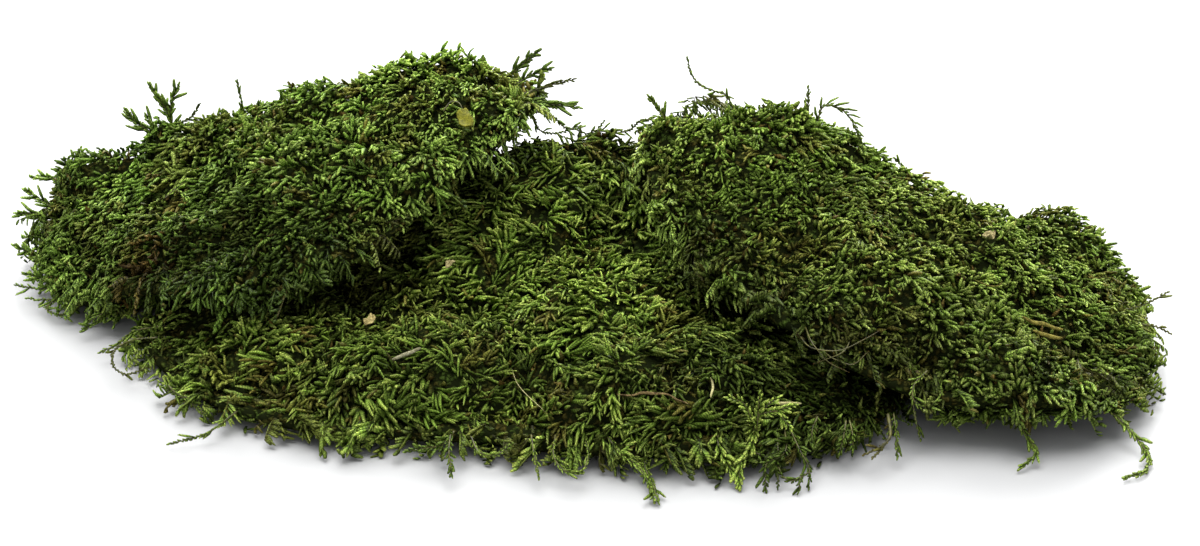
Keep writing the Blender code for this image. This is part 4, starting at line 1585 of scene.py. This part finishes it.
LEFT_SPRIGS = (
    Sprig(((-28, 82, 56), (-23, 84, 60), (-18, 84, 64.5)), value=0.25, **BUSHY),
    Sprig(((-25, 74, 57), (-20, 76, 60), (-15, 77, 61.5)), value=0.3, **BUSHY),
    Sprig(((-22, 68, 57), (-15, 69, 59), (-8, 70, 60.6)), value=0.2, age=0.4, leaf=1.6),
    Sprig(((-24, 66, 56), (-18, 66, 55), (-11, 67, 54), (-7, 67, 53.5)), value=0.35, **BUSHY),
    Sprig(((-42.9, 43.6, 60), (-40.5, 44.7, 62.5), (-38.5, 43.5, 62.5), (-37.4, 42, 61)),
          bare=0.99, radius=0.3),
    Sprig(((-124, 90, 34), (-125, 90, 41), (-127, 90, 46), (-130.5, 90, 52)), value=0.5, **BUSHY),
    Sprig(((-125.5, 90, 42), (-125, 90, 47), (-123, 91, 51.5)), value=0.5, **BUSHY),
    Sprig(((-127, 89, 32), (-131, 89, 38), (-136, 89, 42), (-138, 89, 45)), value=0.4, **BUSHY),
    Sprig(((-127, 90, 36), (-130, 89, 40), (-132, 89, 43)), value=0.4, **BUSHY),
    Sprig(((-124, 91, 40), (-119, 91, 43), (-117, 91, 46)), leaf=1.2, value=0.2),
    Sprig(((-104, 88, 38), (-104, 88, 46), (-105, 88, 54)), branch=2.6, every=6),
    Sprig(((-154, 84, 12), (-162, 84, 18), (-168, 84, 22)), **BRIGHT),
    Sprig(((-154, 88, 18), (-161, 89, 24), (-167, 90, 24)), **BRIGHT),
    Sprig(((-152, 66, 8), (-161, 66, 8), (-168, 65, 12)), **BRIGHT),
    Sprig(((-160, 76, 15), (-164, 78, 17), (-169, 76, 18)), **BRIGHT),
    Sprig(((-152, 55, 7), (-157, 54, 6), (-163, 54, 8)), **BRIGHT),
    Sprig(((-153, 51, 5), (-159, 50, 5), (-165, 50, 6)), leaf=1.3, value=0.6),
    Sprig(((-146, 54, 9), (-152, 46, 5), (-155, 40, 3), (-150, 36, 3), (-144, 38, 6)), hue=0.6, value=0.6),
    Sprig(((-148, 47, 5), (-156, 44, 4), (-161, 44, 4.5)), leaf=1.1, hue=0.7, value=0.6),
    Sprig(((-134, 38, 8), (-137, 30, 5), (-142, 25, 3)), leaf=1.6, width=0.8),
    Sprig(((-135, 32, 8), (-138, 28, 6), (-141, 26, 5)), leaf=1.4),
    Sprig(((-120.2, 41.5, 35.5), (-117, 43, 38), (-114.7, 43.4, 39.7)), hue=1.0, value=0.95, leaf=1.6),
    Sprig(((-117.5, 42.6, 37.6), (-116, 41, 37.6), (-114, 40, 36.6)), hue=1.0, value=0.95, leaf=1.4),
    Sprig(((-19, 68, 52), (-14, 70, 50), (-10, 74, 45), (-7, 78, 43), (-2, 80, 41), (1, 82, 44)), leaf=0.9),
    Sprig(((-19, 70, 50), (-17, 74, 44), (-12, 78, 42), (-6, 81, 43)), leaf=0.9),
)
RIGHT_SPRIGS = (
    Sprig(((19, 52, 52), (17, 52, 57), (14, 52, 61)), leaf=1.8, width=0.8),
    Sprig(((38, 50, 52), (37, 50, 58), (34, 50, 63), (31, 50, 64), (27, 50, 66), (25, 50, 69), (24, 50, 73)),
          leaf=1.0, every=7, branch=2.6),
    Sprig(((57, 46, 54), (57, 46, 60), (57, 46, 66)), branch=3.2, every=7),
    Sprig(((59, 46, 54), (62, 46, 61), (66, 46, 60), (70, 46, 55), (72, 46, 50)),
          leaf=1.6, every=4, branch=3.6),
    Sprig(((92, 50, 32), (87, 50, 39), (82, 50, 44)), leaf=1.2),
    Sprig(((100, -38, 12), (106, -47, 6), (108, -53, 3), (104, -57, 1.5)), leaf=2.0, width=0.8, value=0.6),
    Sprig(((124, -32, 10), (132, -43, 6), (136, -52, 2), (134, -59, 1.2), (129, -62, 1.2)),
          hue=0.6, value=0.6, leaf=1.9, width=0.85),
    Sprig(((136, 8, 15), (146, 8, 18), (151, 8, 21)), leaf=0.9, age=0.4),
    Sprig(((140, 5, 13), (148, 4, 13), (152, 4, 11)), leaf=0.8, age=0.5),
    Sprig(((82, -40, 20), (78, -44, 17), (77.8, -46, 15), (79.2, -47, 13.5), (81.2, -47, 13.3),
           (83.8, -46, 14.2), (85, -43, 15.8)), value=0.55),
    Sprig(((5, 78, 42), (8, 74, 44), (12, 66, 50), (17, 60, 52)), leaf=0.9),
    Sprig(((50, -25, 24), (54, -36, 24), (60, -39, 25), (66, -38, 27.5), (70, -34, 28)), **ROOT),
    Sprig(((52, -26, 26), (54, -36, 24.5), (57, -38, 21.5), (62, -40, 19.5)), **ROOT),
    Sprig(((64, -30, 26), (60, -39, 24), (56.5, -38, 22), (54, -34, 19)), **ROOT),
    Sprig(((56, -28, 21), (59, -38, 22), (63, -41, 22), (67, -38, 24)), **ROOT),
)

BASE_PATCHES = (
    # The bright middle of the mat.
    Patch((-10, 4), 30, hue=0.15, value=0.36),
    # The furrow along the left mat's lip and the hollow under the right mat's, sunk and in painted shade.
    Patch((-80, 4), 9, value=-0.5, sink=4.0),
    Patch((-67, 8), 9, value=-0.5, sink=4.0),
    Patch((-57, 16), 9, value=-0.5, sink=4.0),
    Patch((-50, 28), 9, value=-0.45, sink=4.0),
    Patch((50, -32), 12, value=-0.45, sink=3.0),
    # Dimmer stretches across the front, in painted shade, and lighter ones beside the furrow.
    Patch((-23, -27), 12, value=-0.32),
    Patch((0, -29), 10, value=-0.15),
    Patch((23, -27), 12, value=-0.25),
    Patch((-68, -36), 14, value=-0.32),
    Patch((7, -46), 12, value=-0.2),
    Patch((-56, -4), 9, value=0.35),
    Patch((-40, 14), 10, value=0.25),
    # The bluer green at the front right, darkened with painted shade under the right mat.
    Patch((72, -30), 24, hue=-0.35, value=-0.53),
    Patch((40, -44), 24, hue=-0.35, value=-0.55),
    # The dim back and the paler left end.
    Patch((-4, 66), 30, value=-0.15),
    Patch((-84, -26), 26, value=0.16, age=0.1),
    # Two groups of reddish dead shoots.
    Patch((14, -22), 5, value=0.4, age=1.0),
    Patch((17, -4), 4.5, value=0.3, age=1.0),
    # Two dips near the front left, darkened with painted shade, and the yellower front edge.
    Patch((-94, -26), 7, value=-0.2, sink=3.0),
    Patch((-52, -30), 9, value=-0.15, sink=3.0),
    Patch((2, -56), 30, hue=0.3, value=0.02),
)
LEFT_PATCHES = (
    # The yellower crown in painted light from above, and the deep green of the low front in painted shade.
    Patch((-48, 76), 48, hue=0.45, value=0.48),
    Patch((-105, 4), 30, hue=-0.5, value=-0.36),
    # Lighter and darker stretches of the slope.
    Patch((-60, 40), 24, value=-0.1),
    Patch((-130, 73), 22, value=0.3),
    Patch((-42, 66), 13, value=0.35),
    Patch((-84, 66), 18, value=0.2),
    # The shade along the lip.
    Patch((-70, -7), 10, value=-0.45),
    Patch((-86, -10), 10, value=-0.7),
    Patch((-55, 6), 8, value=-0.25),
    Patch((-38, 21), 7, value=-0.4),
    # The brown dead tuft, and the hole beside it, darkened with painted shade.
    Patch((-126, 25), 7.5, value=-0.05, age=2.0, sink=1.0),
    Patch((-119, 19), 6, value=-0.5, sink=5.0),
)
RIGHT_PATCHES = (
    # The yellower right end, the crown and slope lightened with painted light, and the dry middle.
    Patch((132, 30), 34, hue=0.3, value=0.1),
    Patch((40, 50), 40, value=0.24),
    Patch((90, 30), 30, hue=0.1, value=0.12),
    Patch((84, 0), 24, value=-0.04, age=0.3),
    # The yellow tufts over the lip, and the painted shade under it and in its hollow.
    Patch((45, -11), 9, hue=0.5, value=0.2),
    Patch((24, 0), 10, hue=-0.3, value=-0.85),
    Patch((36, -17), 9, value=-0.8),
    Patch((50, -29), 8, value=-0.4, sink=1.5),
    Patch((58, -37), 8.5, value=-0.75, sink=3.5),
    # Shoulders lightened with painted light, and the foot dimmed with painted shade.
    Patch((46, 7), 13, value=0.2),
    Patch((102, -2), 13, value=0.3),
    Patch((112, -42), 12, value=-0.35),
    Patch((86, -40), 22, value=-0.26),
)


def litter_tree() -> KDTree:
    """Index the litter solids' points, so that the moss can give way under them.

    Returns:
        A search tree of the points, in metres.
    """
    points = [vertex.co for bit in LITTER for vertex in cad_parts[bit.node].data.vertices]
    tree = KDTree(len(points))
    for index, point in enumerate(points):
        tree.insert(point, index)
    tree.balance()
    return tree


LITTER_TREE = litter_tree()


def main() -> None:
    """Build the heap from the table up, and report each piece."""
    logging.basicConfig(level=logging.INFO, format="%(message)s")
    Studio().build()
    mats = [
        MossMat("base_mat", "base_moss",
                MossFinish("yellow_green_feather_moss", "2a3310", "637b2d", "97a44e"),
                FrondHabit(frond=(8.0, 13.0), shoot=(3.4, 5.8), width=(0.9, 1.35), spacing=3.85, tussock=15.0,
                           comb=(0.1, -0.5, 0.0), rise=26.0, per_frond=12, rings=4),
                seed=1, hue=0.5, value=0.5, swell=0.6, relief=4.0, patches=BASE_PATCHES, sprigs=BASE_SPRIGS),
        MossMat("left_mat", "left_moss",
                MossFinish("deep_green_feather_moss", "263512", "5c762b", "8c9f4c"),
                FrondHabit(frond=(6.0, 10.0), shoot=(2.7, 4.1), width=(0.98, 1.35), spacing=3.3, tussock=10.0,
                           comb=(0.0, -0.6, 0.0)),
                seed=2, hue=0.4, value=0.5, swell=1.2, patches=LEFT_PATCHES, sprigs=LEFT_SPRIGS),
        MossMat("right_mat", "right_moss",
                MossFinish("olive_feather_moss", "293211", "61782d", "8f9c4e"),
                FrondHabit(frond=(5.5, 9.0), shoot=(2.5, 3.8), width=(0.95, 1.3), spacing=3.25, tussock=9.0,
                           comb=(0.45, -0.35, 0.0)),
                seed=3, hue=0.4, value=0.57, swell=1.0, patches=RIGHT_PATCHES, sprigs=RIGHT_SPRIGS),
    ]
    trees = {mat.node: mat.form.tree for mat in mats}
    for mat in mats:
        mat.build([tree for node, tree in trees.items() if node != mat.node])
    for bit in LITTER:
        bit.build()


if __name__ == "__main__":
    main()
